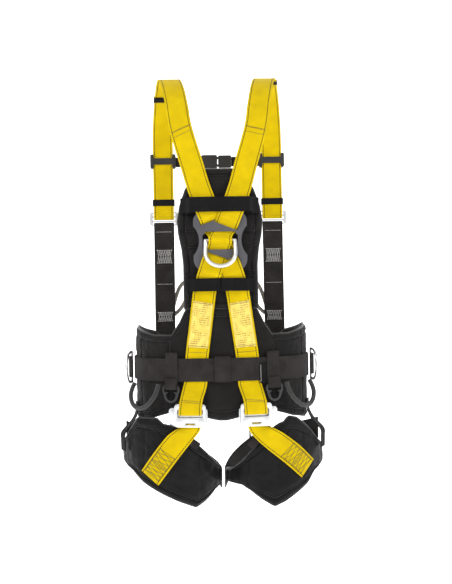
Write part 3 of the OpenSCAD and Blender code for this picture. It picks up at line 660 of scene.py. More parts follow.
for side_name, s in SIDES:
    strap(f"leg_web_{side_name}", leg_strap_route(s), YELLOW, steps=6,
          nodes=f"leg_strap_{side_name}")
    sleeve = [(-26, -134), (-23, -139), (-20, -145)]
    strap(f"sleeve_web_{side_name}", [on_leg(s, a, z, 0.9, LEG_TILT[s]) for a, z in sleeve], BLACK_WEB,
          width=WEB_W - 5, thick=1.2, steps=6, nodes=f"wear_sleeve_{side_name}")
    run = [(110, -138), (196, THIGH_BUCKLE_Z[s]), (254, -238)]
    closing = [(*round_leg(s, a, 1.7, lookup(a, run)), *UP) for a in range(110, 255, 6)]
    strap(f"thigh_web_{side_name}", closing, BLACK_WEB, nodes=f"thigh_webbing_{side_name}")
    riser = [(174, -50, -68, 0.28, 0.96), (174.5, -51, -88, 0.28, 0.96), (182, -60, -106, 0.36, 0.93),
             (199, -76, -126, 0.47, 0.88), (200, -77, -142, 0.47, 0.88), (199.5, -77, -162, 0.47, 0.88)]
    strap(f"riser_web_{side_name}", [(s * x, y, z, s * wx, wy, 0) for x, y, z, wx, wy in riser], ELASTIC,
          width=22, thick=1.8, steps=6, nodes=f"side_riser_{side_name}")
print("leg straps made")

# %% [markdown]
# ## Padding
# A pad is two layers of cloth over foam. It is thickest away from its edges, it dips along each
# row of quilting, and a piping cord closes its rim. The outer and inner faces are one closed
# skin: a sheet bent round the body, with its thickness rounded off towards the rim.

# %% Padded sheet
PAD_T, LEG_PAD_T = 14, 13


def rim_round(u, v, edge_u, edge_v):
    """1 away from the rim, falling in a quarter circle within an edge's width of it."""
    def side(t, edge):
        d = min(t, 1 - t) / edge
        return 1.0 if d >= 1 else math.sqrt(max(0.0, 1 - (1 - d) ** 2))
    return side(u, edge_u) * side(v, edge_v)


def pad(name, place, count_u, count_v, depth, edges, dent, material, nodes):
    """place(u, v, lift) gives a point; dent(u, v) is how far the quilting pulls the outer face in."""
    verts = []
    us, vs = np.linspace(0, 1, count_u), np.linspace(0, 1, count_v)
    for outer in (True, False):
        for v in vs:
            for u in us:
                full = rim_round(u, v, *edges)
                middle = -depth * 0.5
                if outer:
                    flat = Vector(place(u, v, 0.0))
                    ripple = 1.6 * noise.noise(flat / 30) + 1.0 * noise.noise(flat / 11 + Vector((3, 1, 7)))
                    lift = middle + (depth * 0.5 - dent(u, v) + ripple - 1.0) * full
                else:
                    lift = middle - depth * 0.5 * full
                verts.append(place(u, v, lift))
    faces = []
    size = count_u * count_v
    for j in range(count_v - 1):
        for i in range(count_u - 1):
            a = j * count_u + i
            faces.append((a, a + 1, a + count_u + 1, a + count_u))
            faces.append((size + a, size + a + count_u, size + a + count_u + 1, size + a + 1))
    rim = ([j * count_u + i for j, i in [(0, i) for i in range(count_u)]]
           + [j * count_u + count_u - 1 for j in range(1, count_v)]
           + [(count_v - 1) * count_u + i for i in range(count_u - 2, -1, -1)]
           + [j * count_u for j in range(count_v - 2, 0, -1)])
    for k, a in enumerate(rim):
        b = rim[(k + 1) % len(rim)]
        faces.append((a, size + a, size + b, b))
    obj = right_way_out(new_object(name, verts, faces, material))
    settle(obj, nodes)
    return obj


def channel(t, at, wide):
    return math.exp(-((t - at) / wide) ** 2)


# %% [markdown]
# ## The back pad
# The back pad is a shield that widens at the shoulder blades. Its outline is a half width for each
# height, and five sewn rows cross it, each a shallow channel in the skin.

# %% Back pad
BACK_EDGE = [(118, 71), (205, 71), (235, 74), (265, 80), (290, 82), (320, 77), (351, 66), (375, 48),
             (390, 27)]
SEAM_HEIGHTS = (305, 269, 238, 187, 131)
PAD_LOW, PAD_HIGH = 118.5, 390


def back_place(u, v, lift):
    z = mix(PAD_LOW, PAD_HIGH, v)
    x = (2 * u - 1) * lookup(z, BACK_EDGE)
    return (x, back_y(x) - lift, z)


def back_dent(u, v):
    z = mix(PAD_LOW, PAD_HIGH, v)
    rows = sum(channel(z, h, 3.6) for h in SEAM_HEIGHTS)
    border = channel(min(u, 1 - u), 0.085, 0.016) + channel(1 - v, 0.045, 0.01)
    return 4.6 * min(1.0, rows + border)


pad("back_cushion", back_place, 110, 150, PAD_T, (0.07, 0.03), back_dent, PADDING, "back_pad")

# %% [markdown]
# ## The waist pad
# The waist pad wraps the hips and rises in the middle to meet the back pad. Its top and bottom
# edges are heights for each angle round the waist, so both wings come from one table.

# %% Waist pad
WAIST_TOP = [(0, 118), (17.6, 118), (22, 92), (28.6, 66), (45, 66), (60, 72), (90, 84), (128, 68),
             (143, 45), (163, 30)]
WAIST_BOTTOM = [(0, -99), (20, -78), (31.5, -83), (49.4, -95), (80, -106), (100, -100), (128, -80),
                (163, -45)]


def waist_place(u, v, lift):
    a = mix(-162, 162, u)
    return tuple(round_waist(a, lift, mix(lookup(abs(a), WAIST_BOTTOM), lookup(abs(a), WAIST_TOP), v)))


def waist_dent(u, v):
    a = abs(mix(-162, 162, u))
    upright = sum(channel(a, h, 0.9) for h in (30, 62, 95, 128))
    border = channel(min(v, 1 - v), 0.07, 0.014)
    return 3.4 * min(1.0, upright * 0.8 + border)


pad("waist_cushion", waist_place, 330, 70, PAD_T, (0.012, 0.06), waist_dent, PADDING, "waist_pad")

# %% [markdown]
# ## The thigh pads
# Each thigh pad follows its own leg round. The two loops hang differently, so each side has its
# own table of edge heights.

# %% Thigh pads
LEG_TOP = {-1: [(-125, -226), (-90, -214), (-63, -190), (-49, -172), (-26, -139), (-8, -112), (0, -108),
                (8, -105), (15, -94), (41, -94), (60, -126), (82, -152), (100, -158), (125, -152)],
           1: [(-125, -224), (-90, -212), (-63, -205), (-45, -186), (-27, -158), (-8, -120), (3, -108),
               (8, -105), (14, -94), (24, -98), (39, -116), (55, -140), (72, -160), (100, -162),
               (125, -152)]}
LEG_BOTTOM = {-1: [(-125, -258), (-90, -238), (-63, -243), (-43, -260), (-30, -269), (-8, -253), (14, -235),
                   (34, -218), (51, -199), (82, -186), (125, -188)],
              1: [(-125, -254), (-90, -236), (-64, -231), (-45, -230), (-32, -239), (-18, -254), (-4, -267),
                  (8, -258), (21, -245), (39, -227), (50, -208), (72, -196), (100, -190), (125, -188)]}


def leg_dent(u, v):
    border = channel(v, 0.86, 0.026) + channel(v, 0.1, 0.028)
    upright = sum(channel(u, at, 0.006) for at in (0.22, 0.36, 0.5, 0.62, 0.76)) * (0.1 < v < 0.86)
    return 3.2 * min(1.0, border + 0.55 * upright)


def leg_place_on(s, u, v, lift):
    a = mix(-125, 125, u)
    return tuple(round_leg(s, a, lift, mix(lookup(a, LEG_BOTTOM[s]), lookup(a, LEG_TOP[s]), v)))


for side_name, s in SIDES:
    def leg_place(u, v, lift, s=s):
        return leg_place_on(s, u, v, lift)

    pad(f"thigh_cushion_{side_name}", leg_place, 150, 60, LEG_PAD_T, (0.02, 0.09), leg_dent, THIGH,
        f"leg_pad_{side_name}")
print("pads made")


# %% [markdown]
# ## Cords
# The gear loops and the sternal loops are textile cords in braided sleeves. Each is a round tube
# on its route with its ends tucked into the webbing. The braid follows the cord's own map.

# %% Sleeved loops
def tube(name, route, diameter, material, nodes, sides=14, steps=6):
    path = [np.array(p[:3]) for p in smooth([(*p, 0, 0, 1) for p in route], steps)]
    verts, uvs, faces, length = [], [], [], 0.0
    ahead = path[1] - path[0]
    side = np.cross(ahead, (0.3, 0.2, 1.0))
    for i, here in enumerate(path):
        ahead = path[min(i + 1, len(path) - 1)] - path[max(i - 1, 0)]
        ahead /= np.linalg.norm(ahead)
        side = side - ahead * side.dot(ahead)
        side /= np.linalg.norm(side)
        up = np.cross(ahead, side)
        length += np.linalg.norm(here - path[i - 1]) if i else 0.0
        for k in range(sides):
            a = 2 * math.pi * k / sides
            verts.append(here + (side * math.cos(a) + up * math.sin(a)) * diameter / 2)
            uvs.append((k / sides * math.pi * diameter * MM, length * MM))
    for i in range(len(path) - 1):
        for k in range(sides):
            a, b = i * sides + k, i * sides + (k + 1) % sides
            faces.append((a, b, b + sides, a + sides))
    last = (len(path) - 1) * sides
    faces.append(tuple(reversed(range(sides))))
    faces.append(tuple(range(last, last + sides)))
    obj = new_object(name, verts, faces, material, uvs)
    face_out(obj)
    settle(obj, nodes)
    return path, length


for side_name, s in SIDES:
    gear = [(125, -121, -27), (127, -123, -36), (133, -127, -50), (144, -126, -64), (157, -118, -73),
            (170, -104, -74), (180, -89, -65), (183, -79, -51), (180, -74, -38), (175, -72, -28)]
    path, length = tube(f"gear_cord_{side_name}", [(s * x, y, z) for x, y, z in gear], 9, SLEEVE,
                        f"gear_loop_{side_name}")
    print("gear loop", side_name, round(length), "mm")
    chest = [(104, 126, 124), (99, 128, 142), (92, 132, 161), (83, 137, 174), (74, 141, 176), (69, 142, 167),
             (70, 141, 155), (77, 136, 136), (88, 130, 117), (102, 126, 104)]
    path, length = tube(f"chest_cord_{side_name}", [(s * x, y, z) for x, y, z in chest], 8.5, BROWN_SLEEVE,
                        f"sternal_loop_{side_name}")
    print("sternal loop", side_name, round(length), "mm")

# %% [markdown]
# ## Piping
# The rim of every pad is closed by a bound cord. It is a thin tube along the rim, sewn on, so it
# is part of the pad's edge. It catches the light and draws the pad's outline.

# %% Piping
PIPE_D, LEG_PIPE_D = 4.5, 4.0


def piping(name, route, diameter):
    path = [np.array(p) for p in route]
    count, sides = len(path), 8
    verts, faces = [], []
    side = np.array((0.1, 0.2, 1.0))
    for i, here in enumerate(path):
        ahead = path[(i + 1) % count] - path[i - 1]
        ahead = ahead / np.linalg.norm(ahead)
        side = side - ahead * side.dot(ahead)
        side /= np.linalg.norm(side)
        up = np.cross(ahead, side)
        for k in range(sides):
            a = 2 * math.pi * k / sides
            verts.append(here + (side * math.cos(a) + up * math.sin(a)) * diameter / 2)
    for i in range(count):
        j = (i + 1) % count
        for k in range(sides):
            after = (k + 1) % sides
            faces.append((i * sides + k, i * sides + after, j * sides + after, j * sides + k))
    obj = new_object(name, verts, faces, PIPING)
    face_out(obj)
    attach(obj, "harness")


def rim_route(place, lift, count_u, count_v):
    us, vs = np.linspace(0, 1, count_u), np.linspace(0, 1, count_v)
    lower = [place(u, 0, lift) for u in us]
    right = [place(1, v, lift) for v in vs[1:]]
    upper = [place(u, 1, lift) for u in us[-2::-1]]
    left = [place(0, v, lift) for v in vs[-2:0:-1]]
    return lower + right + upper + left


piping("back_piping", rim_route(back_place, -PAD_T * 0.5, 40, 90), PIPE_D)
piping("waist_piping", rim_route(waist_place, -PAD_T * 0.5, 200, 16), PIPE_D)
for side_name, s in SIDES:
    piping(f"thigh_piping_{side_name}", rim_route(lambda u, v, lift: leg_place_on(s, u, v, lift),
                                                  -LEG_PAD_T * 0.5, 110, 14), LEG_PIPE_D)
print("piping made")

# %% [markdown]
# ## Hardware
# Rings, frames, buckles and sliders keep the frame's own solids, each on a merged copy; all but
# the rings have their edges rounded. Real castings and stampings never have a sharp corner, and a
# rounded edge is what catches the light.

# %% Hardware
MERGE_GAP, FLAT_ANGLE, SHADE_ANGLE = 2e-5, 1.2, 50


def softened(node, material, width=0.6, body=None, segments=3, angle=35):
    source = frame["nodes"][node]
    bm = bmesh.new()
    bm.from_mesh(source.data)
    bmesh.ops.remove_doubles(bm, verts=bm.verts, dist=MERGE_GAP)
    bmesh.ops.dissolve_limit(bm, angle_limit=math.radians(FLAT_ANGLE), verts=bm.verts, edges=bm.edges)
    sharp = [e for e in bm.edges if len(e.link_faces) == 2 and e.calc_face_angle(0) > math.radians(angle)]
    if width:
        bmesh.ops.bevel(bm, geom=sharp, offset=width * MM, segments=segments, profile=0.5, affect="EDGES",
                        clamp_overlap=True)
    bmesh.ops.triangulate(bm, faces=[f for f in bm.faces if len(f.verts) > 4])
    mesh = bpy.data.meshes.new(f"{node}_soft")
    bm.to_mesh(mesh)
    bm.free()
    mesh.materials.append(material)
    mesh.shade_smooth()
    mesh.set_sharp_from_angle(angle=math.radians(SHADE_ANGLE))
    obj = bpy.data.objects.new(f"{node}_soft", mesh)
    bpy.context.scene.collection.objects.link(obj)
    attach(obj, body or body_of(node))
    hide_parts(node)
    return obj


def body_of(node):
    groups = frame["record"]["behaviour"]["bodies"]
    return next(body for body, nodes in groups.items() if node in nodes)


softened("dorsal_plate", PLATE, 0.8)
for node in ("chest_buckle_female", "chest_buckle_male"):
    softened(node, BLACK_PLASTIC, 1.2)
for node in ("dorsal_ring", "side_ring_left", "side_ring_right"):
    softened(node, RING_STEEL, 0)
for side_name, s in SIDES:
    softened(f"chest_slider_{side_name}", BLACK_PLASTIC, 0.8)
    softened(f"tool_ring_{side_name}", BLACK_PLASTIC, 0.8)
    softened(f"tail_keepers_{side_name}", ELASTIC, 0.5)
    for part in ("front_adjuster", "leg_frame", "leg_plate", "thigh_buckle"):
        softened(f"{part}_{side_name}", BUCKLE_STEEL, 0.7)
    strap(f"chest_web_{side_name}",
          [(s * x, 129.3, 448, 0, 0, 1) for x in (36.2 if s < 0 else 32.2, 80, 134)],
          BLACK_WEB, width=22, thick=1.8, steps=4, nodes=f"chest_strap_{side_name}",
          body=body_of(f"chest_strap_{side_name}"))
softened("waist_buckle_frame", BUCKLE_STEEL, 0.7)
softened("waist_buckle_tongue", BUCKLE_STEEL, 0.7)
print("hardware softened")

# %% [markdown]
# ## Stitches
# A stitch is a short plump thread lying on the cloth. Along a seam it repeats at an even pitch, so
# Geometry Nodes lays it: the seam is a curve, the curve is cut into equal steps, and one small
# thread is placed on each step, turned along the seam. The pitch, length and gauge are inputs.

# %% The stitch tree
def stitch_tree():
    tree = bpy.data.node_groups.new("stitch row", "GeometryNodeTree")
    face = tree.interface
    face.new_socket("Geometry", in_out="INPUT", socket_type="NodeSocketGeometry")
    for label, value in (("Pitch", 0.004), ("Length", 0.003), ("Gauge", 0.0005)):
        face.new_socket(label, in_out="INPUT", socket_type="NodeSocketFloat").default_value = value
    face.new_socket("Thread", in_out="INPUT", socket_type="NodeSocketMaterial")
    face.new_socket("Geometry", in_out="OUTPUT", socket_type="NodeSocketGeometry")
    new, link = tree.nodes.new, tree.links.new
    start, end = new("NodeGroupInput"), new("NodeGroupOutput")
    curve = new("GeometryNodeMeshToCurve")
    steps = new("GeometryNodeCurveToPoints")
    steps.mode = "LENGTH"
    thread = new("GeometryNodeMeshCylinder")
    thread.inputs["Vertices"].default_value = 6
    thread.inputs["Side Segments"].default_value = 2
    place = new("GeometryNodeInstanceOnPoints")
    jitter = new("FunctionNodeRandomValue")
    jitter.data_type = "FLOAT_VECTOR"
    jitter.inputs["Min"].default_value = (0.9, 0.9, 0.86)
    jitter.inputs["Max"].default_value = (1.1, 1.1, 1.0)
    jitter.inputs["Seed"].default_value = 7
    real, paint = new("GeometryNodeRealizeInstances"), new("GeometryNodeSetMaterial")
    smooth_shade = new("GeometryNodeSetShadeSmooth")
    link(start.outputs["Geometry"], curve.inputs["Mesh"])
    link(curve.outputs["Curve"], steps.inputs["Curve"])
    link(start.outputs["Pitch"], steps.inputs["Length"])
    link(start.outputs["Gauge"], thread.inputs["Radius"])
    link(start.outputs["Length"], thread.inputs["Depth"])
    link(steps.outputs["Points"], place.inputs["Points"])
    link(steps.outputs["Rotation"], place.inputs["Rotation"])
    link(thread.outputs["Mesh"], place.inputs["Instance"])
    link(jitter.outputs["Value"], place.inputs["Scale"])
    link(place.outputs["Instances"], real.inputs["Geometry"])
    link(real.outputs["Geometry"], smooth_shade.inputs["Geometry"])
    link(smooth_shade.outputs["Geometry"], paint.inputs["Geometry"])
    link(start.outputs["Thread"], paint.inputs["Material"])
    link(paint.outputs["Geometry"], end.inputs["Geometry"])
    return tree


STITCHES = stitch_tree()
SOCKETS = {item.name: item.identifier for item in STITCHES.interface.items_tree if item.in_out == "INPUT"}
seams = {}


def seam(group, points):
    """Adds one run of stitching, as points in mm, to a group that is sewn in one go."""
    seams.setdefault(group, []).append([tuple(p) for p in points])


def sew(group, material, pitch=4.2, length=3.0, gauge=0.45, body="harness"):
    verts, edges = [], []
    for run in seams.pop(group):
        edges += [(len(verts) + i, len(verts) + i + 1) for i in range(len(run) - 1)]
        verts += [Vector(p) * MM for p in run]
    mesh = bpy.data.meshes.new(group)
    mesh.from_pydata(verts, edges, [])
    guide = bpy.data.objects.new(group + "_guide", mesh)
    bpy.context.scene.collection.objects.link(guide)
    rows = guide.modifiers.new("stitches", "NODES")
    rows.node_group = STITCHES
    for label, value in (("Pitch", pitch * MM), ("Length", length * MM), ("Gauge", gauge * MM),
                         ("Thread", material)):
        rows[SOCKETS[label]] = value
    depsgraph = bpy.context.evaluated_depsgraph_get()
    plain = bpy.data.meshes.new_from_object(guide.evaluated_get(depsgraph))
    bpy.data.objects.remove(guide)
    obj = bpy.data.objects.new(group, plain)
    bpy.context.scene.collection.objects.link(obj)
    face_out(obj)
    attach(obj, body)
    print(group, len(plain.polygons), "faces")
    return obj


def route_frame(route, steps=6):
    """Distances along a strap's route, and a place(s, x, h) that gives a point at distance s mm,
    x mm across it and h mm off its middle."""
    pts = smooth(route, steps)
    at = np.concatenate([[0], np.cumsum([np.linalg.norm(b[:3] - a[:3]) for a, b in zip(pts, pts[1:])])])
    arr = np.array(pts)

    def place(s, x, h):
        here = np.array([np.interp(s, at, arr[:, k]) for k in range(6)])
        d = 1.0
        ahead = np.array([np.interp(s + d, at, arr[:, k]) - np.interp(s - d, at, arr[:, k])
                          for k in range(3)])
        ahead /= np.linalg.norm(ahead)
        weft = here[3:] / np.linalg.norm(here[3:])
        out = np.cross(ahead, weft)
        out /= np.linalg.norm(out)
        return here[:3] + weft * x + out * h

    return at[-1], place, arr, at


def distance_near(arr, at, point):
    return float(at[np.argmin(np.linalg.norm(arr[:, :3] - np.array(point), axis=1))])


def run_across(group, place, s, half, lift, skew=0.0, count=12):
    seam(group, [place(s + skew * x, x, lift) for x in np.linspace(-half, half, count)])


def run_along(group, place, s0, s1, x, lift, step=6.0):
    count = max(2, int(abs(s1 - s0) / step))
    seam(group, [place(s, x, lift) for s in np.linspace(s0, s1, count)])


def box_w(group, place, s0, s1, half, lift, zigs=3):
    """A sewn block: a box of stitching with a zigzag inside."""
    for x in (-half, half):
        run_along(group, place, s0, s1, x, lift)
    for s in (s0, s1):
        run_across(group, place, s, half, lift)
    for start in (1, -1):
        pts = []
        for i in range(zigs + 1):
            a = mix(s0, s1, i / zigs)
            pts.append((a, half * start * (1 if i % 2 else -1)))
        run = []
        for (sa, xa), (sb, xb) in zip(pts, pts[1:]):
            run += [place(mix(sa, sb, t), mix(xa, xb, t), lift) for t in np.linspace(0, 1, 8)[:-1]]
        run.append(place(pts[-1][0], pts[-1][1], lift))
        seam(group, run)


# %% [markdown]
# ## Sewing the straps
# The shoulder straps have a dark edge row on both sides, a sewn joint on each back diagonal, and
# dark rows above the leg frames. Just below each joint one more dark row stands for the shade of a
# fold across the strap: painted shade, drawn as thread. The leg straps carry two blocks. Every run
# is placed by its distance along the strap's own route, so it lies on the cloth wherever the strap
# bends.

# %% Shoulder strap stitching
routes = {}
for side_name, s in SIDES:
    over = LAYER if s > 0 else 0
    length, place, arr, at = route_frame(shoulder_route(s, over))
    # the outer face is the one away from the body; its sign is read off at mid back
    mid = distance_near(arr, at, (s * 53, back_y(53), 400))
    out = 1 if place(mid, 0, 5)[1] < place(mid, 0, 0)[1] else -1
    lift = out * (WEB_T / 2 + 0.25)
    routes[s] = (place, arr, at, out)
    joint = distance_near(arr, at, (s * 72, back_y(72), 466))
    # The runs at 0 and 1.6 mm are the joint's stitches; the run 11 mm further down is dark thread laid where
    # a fold across the strap shows as a line of shade: painted shade.
    for step in (0, 1.6, 11):
        run_across(f"joint_{side_name}", place, joint + step, 18.5, lift, -0.1, 16)
    low = distance_near(arr, at, (-s * 60, back_y(60) - 8, -60))
    for step in (0, 3.2):
        run_across(f"joint_{side_name}", place, low + step, 17, lift, 0.1)
    sew(f"joint_{side_name}", DARK_THREAD, 3.4, 2.7, 0.42)

# %% [markdown]
# ## Stitches on the leg straps
# The end of each leg strap is sewn to the pad with two blocks, each a box with a zigzag inside,
# which spreads the load over many threads.

# %% Leg strap stitching
for side_name, s in SIDES:
    length, place, arr, at = route_frame(leg_strap_route(s))
    out = 1 if place(length * 0.7, 0, 5)[1] < place(length * 0.7, 0, 0)[1] else -1
    lift = out * (WEB_T / 2 + 0.25)
    box_w(f"leg_block_{side_name}", place, length - 7, length - 31, 16.5, lift, 3)
    box_w(f"leg_block_{side_name}", place, length - 34, length - 60, 16.5, lift, 3)
    sew(f"leg_block_{side_name}", DARK_THREAD, 3.4, 2.7, 0.45)

# %% [markdown]
# ## Stitches on the front webbing
# Bar tacks and crossed zigzags in pale thread close the sewn folds of the black front webbing.

# %% Front webbing stitching
for side_name, s in SIDES:
    group = f"front_bars_{side_name}"
    route = [off_back(s, FRONT_X, ADJUSTER_Y + dy, z, turn) for z, dy, turn in
             [(298, -3.7, 0), (220, -3.4, 0), (150, -5, -3), (90, 109 - ADJUSTER_Y, -12),
              (40, 106.5 - ADJUSTER_Y, -20)]]
    length, place, arr, at = route_frame(route)
    out = 1 if place(length * 0.3, 0, 5)[1] < place(length * 0.3, 0, 0)[1] else -1
    lift = out * (WEB_T / 2 + 0.25)
    for z in (287, 176):
        run_across(group, place, distance_near(arr, at, (s * FRONT_X, 115, z)), 16, lift)
    for z0, z1 in ((246, 216), (112, 88)):
        a, b = (distance_near(arr, at, (s * FRONT_X, 112, z)) for z in (z0, z1))
        for phase in (0, 1):
            xs, zig = np.linspace(-15.5, 15.5, 9), []
            for i, (xa, xb) in enumerate(zip(xs, xs[1:])):
                d0, d1 = (a, b) if (i + phase) % 2 else (b, a)
                zig += [place(mix(d0, d1, t), mix(xa, xb, t), lift) for t in np.linspace(0, 1, 7)]
            seam(group, zig)
        for end in (a, b):
            run_across(group, place, end, 16, lift)
    sew(group, PALE_THREAD, 3.2, 2.8, 0.5)

# %% [markdown]
# ## Seams on the cushions
# Thread lies at the bottom of each sewn channel, so the seam rows reuse the heights and angles
# that shaped the channels.

# %% Cushion seams
def seam_on(group, place, points, lift):
    seam(group, [place(u, v, lift) for u, v in points])


def back_v(z):
    return (z - PAD_LOW) / (PAD_HIGH - PAD_LOW)


for z in SEAM_HEIGHTS:
    seam_on("back_quilting", back_place, [(u, back_v(z)) for u in np.linspace(0.09, 0.91, 40)], -3.4)
for u in (0.085, 0.915):
    seam_on("back_quilting", back_place, [(u, v) for v in np.linspace(0.03, 0.95, 60)], -3.4)
seam_on("back_quilting", back_place, [(u, 0.955) for u in np.linspace(0.09, 0.91, 24)], -3.6)
sew("back_quilting", BLACK_THREAD, 4.6, 3.2, 0.42)
for v in (0.07, 0.93):
    seam_on("waist_quilting", waist_place, [(u, v) for u in np.linspace(0.01, 0.99, 260)], -3.2)
for a in (30, 62, 95, 128):
    for sign in (-1, 1):
        u = (sign * a + 162) / 324
        seam_on("waist_quilting", waist_place, [(u, v) for v in np.linspace(0.08, 0.92, 30)], -2.6)
sew("waist_quilting", BLACK_THREAD, 4.8, 3.3, 0.42)
for side_name, s in SIDES:
    group = f"thigh_quilting_{side_name}"
    for v in (0.1, 0.86):
        seam(group, [leg_place_on(s, u, v, -2.5) for u in np.linspace(0.02, 0.98, 120)])
    sew(group, BLACK_THREAD, 4.8, 3.3, 0.42)
print("stitching done")

# %% [markdown]
# ## Label panels
# Two pale panels are sewn to the lower back straps. A real one carries instructions. Here it has
# only faint rows of blocks, drawn by the material from the panel's own map, with no lettering.

# %% Label panels
def label_finish():
    f = Finish("label panel", (0.80, 0.66, 0.16), 0.6)
    u, v = f.uv()
    row = f.math("PINGPONG", v, 0.0021)
    in_row = f.math("LESS_THAN", row, 0.0009)
    cell = f.node("ShaderNodeTexNoise", Scale=1.0, Detail=1.0)
    joined = f.node("ShaderNodeCombineXYZ")
    f.join(f.math("MULTIPLY", u, 620), joined.inputs[0])
    f.join(f.math("MULTIPLY", f.math("FLOOR", f.math("MULTIPLY", v, 238)), 7.3), joined.inputs[1])
    f.join(joined.outputs[0], cell.inputs["Vector"])
    broken = f.math("GREATER_THAN", cell.outputs["Fac"], 0.47)
    patch = f.node("ShaderNodeTexNoise", Scale=1.0, Detail=0.0)
    spread = f.node("ShaderNodeCombineXYZ")
    f.join(f.math("MULTIPLY", u, 75), spread.inputs[0])
    f.join(f.math("MULTIPLY", v, 60), spread.inputs[1])
    f.join(spread.outputs[0], patch.inputs["Vector"])
    area = f.math("GREATER_THAN", patch.outputs["Fac"], 0.42)
    margin = f.math("LESS_THAN", f.math("ABSOLUTE", u), 0.0155)
    ink = f.math("MULTIPLY", f.math("MULTIPLY", in_row, broken), f.math("MULTIPLY", area, margin))
    base = f.tint(f.noise(60.0), (0.64, 0.47, 0.07), (0.76, 0.60, 0.13))
    f.color(f.blend(f.math("MULTIPLY", ink, 0.85), base, (0.20, 0.11, 0.02)))
    f.bump(f.noise(220.0), 0.15, 0.0003)
    return f.mat


LABEL = label_finish()
for side_name, s in SIDES:
    place, arr, at, out = routes[s]
    top = distance_near(arr, at, (-s * 35, back_y(35), 131))
    bottom = distance_near(arr, at, (-s * 47, back_y(47), 38))
    lift = out * (WEB_T / 2 + 0.3)
    rows, cols = 30, 8
    half = 19.5
    verts, uvs, faces = [], [], []
    for thick in (0.0, 0.5 * out):
        for i in range(rows + 1):
            for k in range(cols + 1):
                d, x = mix(top, bottom, i / rows), mix(-half, half, k / cols)
                verts.append(place(d, x, lift + thick))
                uvs.append((x * MM, d * MM))
    n, size = cols + 1, (rows + 1) * (cols + 1)
    for i in range(rows):
        for k in range(cols):
            a = i * n + k
            faces.append((a, a + 1, a + n + 1, a + n))
            faces.append((size + a, size + a + n, size + a + n + 1, size + a + 1))
    rim = ([k for k in range(n)] + [i * n + cols for i in range(1, rows + 1)]
           + [rows * n + k for k in range(cols - 1, -1, -1)] + [i * n for i in range(rows - 1, 0, -1)])
    for k, a in enumerate(rim):
        b = rim[(k + 1) % len(rim)]
        faces.append((a, size + a, size + b, b))
    panel = new_object(f"label_panel_{side_name}", verts, faces, LABEL, uvs)
    face_out(panel)
    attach(panel, "harness")
    group = f"label_rows_{side_name}"
    for d in (top + 3, bottom - 3):
        run_across(group, place, d, 18.5, lift + 0.75 * out)
    run_across(group, place, bottom + 9, 17, lift)
    sew(group, DARK_THREAD, 3.4, 2.8, 0.45)
print("label panels made")

# %% [markdown]
# ## Keepers and the tag
# Short elastic rings hold each strap's tail. The tag by the tool loop is a folded scrap of tape
# with one pale line woven into it; nothing is written on it.

# %% Keepers and tag
def keeper_ring(name, route, s_mid, half, depth, height, material):
    length, place, arr, at = route_frame(route)
    corners = [(-half, -depth), (half, -depth), (half, depth), (-half, depth)]
    ring = []
    for (x0, h0), (x1, h1) in zip(corners, corners[1:] + corners[:1]):
        ring += [(mix(x0, x1, t), mix(h0, h1, t)) for t in (0.06, 0.5, 0.94)]
    rows = [s_mid - height / 2, s_mid - height / 6, s_mid + height / 6, s_mid + height / 2]
    verts = [place(at_row, x * k, h * k) for k in (1.0, 0.955) for at_row in rows for x, h in ring]
    n, faces = len(ring), []
    for shell in (0, 1):
        base = shell * n * len(rows)
        for j in range(len(rows) - 1):
            for i in range(n):
                a, b = base + j * n + i, base + j * n + (i + 1) % n
                faces.append((a, b, b + n, a + n))
    top = n * (len(rows) - 1)
    for row in (0, top):
        for i in range(n):
            a, b = row + i, row + (i + 1) % n
            faces.append((a, b, b + n * len(rows), a + n * len(rows)))
    uvs = [(x * MM, at_row * MM) for k in (1.0, 0.955) for at_row in rows for x, h in ring]
    obj = new_object(name, verts, faces, material, uvs)
    face_out(obj)
    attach(obj, "harness")


for side_name, s, near in (("left", -1, (-113, 62, 575)), ("right", 1, (105, 10, 597))):
    route = shoulder_route(s, LAYER if s > 0 else 0)
    length, place, arr, at = route_frame(route)
    keeper_ring(f"upper_keeper_{side_name}", route, distance_near(arr, at, near), WEB_W / 2 + 1.4,
                2.6, 15, ELASTIC)

TAG_X, TAG_LINE_X, TAG_LIFT = 79, 74.5, 9.3
softened("label_tag", ELASTIC, 0.3)
tag_line_y = back_y(TAG_X) + back_slope(TAG_X) * (TAG_LINE_X - TAG_X) - TAG_LIFT
seam("tag_line", [(TAG_LINE_X, tag_line_y, z) for z in np.linspace(7, -23, 14)])
sew("tag_line", PALE_THREAD, 2.6, 2.3, 0.42)
print("keepers and tag made")

# %% [markdown]
# ## Floor and light
# A pale floor and a pale backdrop give an even, near-white surround. Three
# large soft lamps from above and both sides keep the black cloth readable without hard shadows.

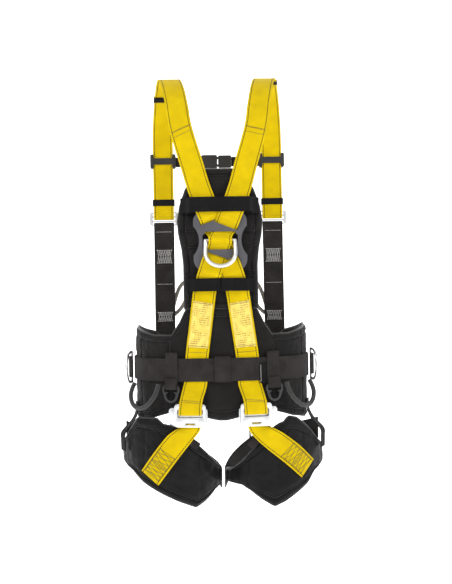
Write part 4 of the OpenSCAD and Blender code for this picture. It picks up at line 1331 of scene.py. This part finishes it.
# %% Floor, backdrop and lights
REACH, FLOOR_DROP, BACKDROP_Y, BACKDROP_TOP = 7, 0.3, 3.2, 5
STAGE_GLOW, WORLD_LIGHT = 0.75, 0.66


def stage_piece(name, corners):
    mesh = bpy.data.meshes.new(name)
    mesh.from_pydata(corners, [], [tuple(range(len(corners)))])
    mesh.materials.append(PALE_STAGE)
    piece = bpy.data.objects.new(name, mesh)
    bpy.context.scene.collection.objects.link(piece)


stage_finish = Finish("pale stage", (0.94, 0.94, 0.945), 0.9)
stage_finish.bsdf.inputs["Emission Color"].default_value = (1, 1, 1, 1)
stage_finish.bsdf.inputs["Emission Strength"].default_value = STAGE_GLOW
PALE_STAGE = stage_finish.mat
FLOOR_Z = CAD_BOX[0][2] - FLOOR_DROP
stage_piece("floor", [(x, y, FLOOR_Z) for x, y in
                      ((-REACH, -REACH), (REACH, -REACH), (REACH, REACH), (-REACH, REACH))])
stage_piece("backdrop", [(x, BACKDROP_Y, z) for x, z in
                         ((-REACH, FLOOR_Z), (REACH, FLOOR_Z), (REACH, BACKDROP_TOP),
                          (-REACH, BACKDROP_TOP))])

world = bpy.data.worlds.new("studio")
world.use_nodes = True
world.node_tree.nodes["Background"].inputs["Color"].default_value = (1.0, 1.0, 1.0, 1)
world.node_tree.nodes["Background"].inputs["Strength"].default_value = WORLD_LIGHT
bpy.context.scene.world = world
bpy.context.scene.view_settings.view_transform = "Standard"


def soft_lamp(name, at, aim, size, power):
    data = bpy.data.lights.new(name, "AREA")
    data.energy, data.size = power, size
    lamp = bpy.data.objects.new(name, data)
    lamp.location = at
    lamp.rotation_euler = (Vector(aim) - Vector(at)).to_track_quat("-Z", "Y").to_euler()
    bpy.context.scene.collection.objects.link(lamp)


soft_lamp("key", (-1.2, -1.6, 1.8), (0, 0, 0.2), 0.8, 28)
soft_lamp("fill", (1.5, -1.5, 0.6), (0, 0, 0.1), 0.9, 12)
soft_lamp("rim", (0.3, 1.6, 1.5), (0, 0, 0.3), 1.2, 16)
print("stage and lights made")
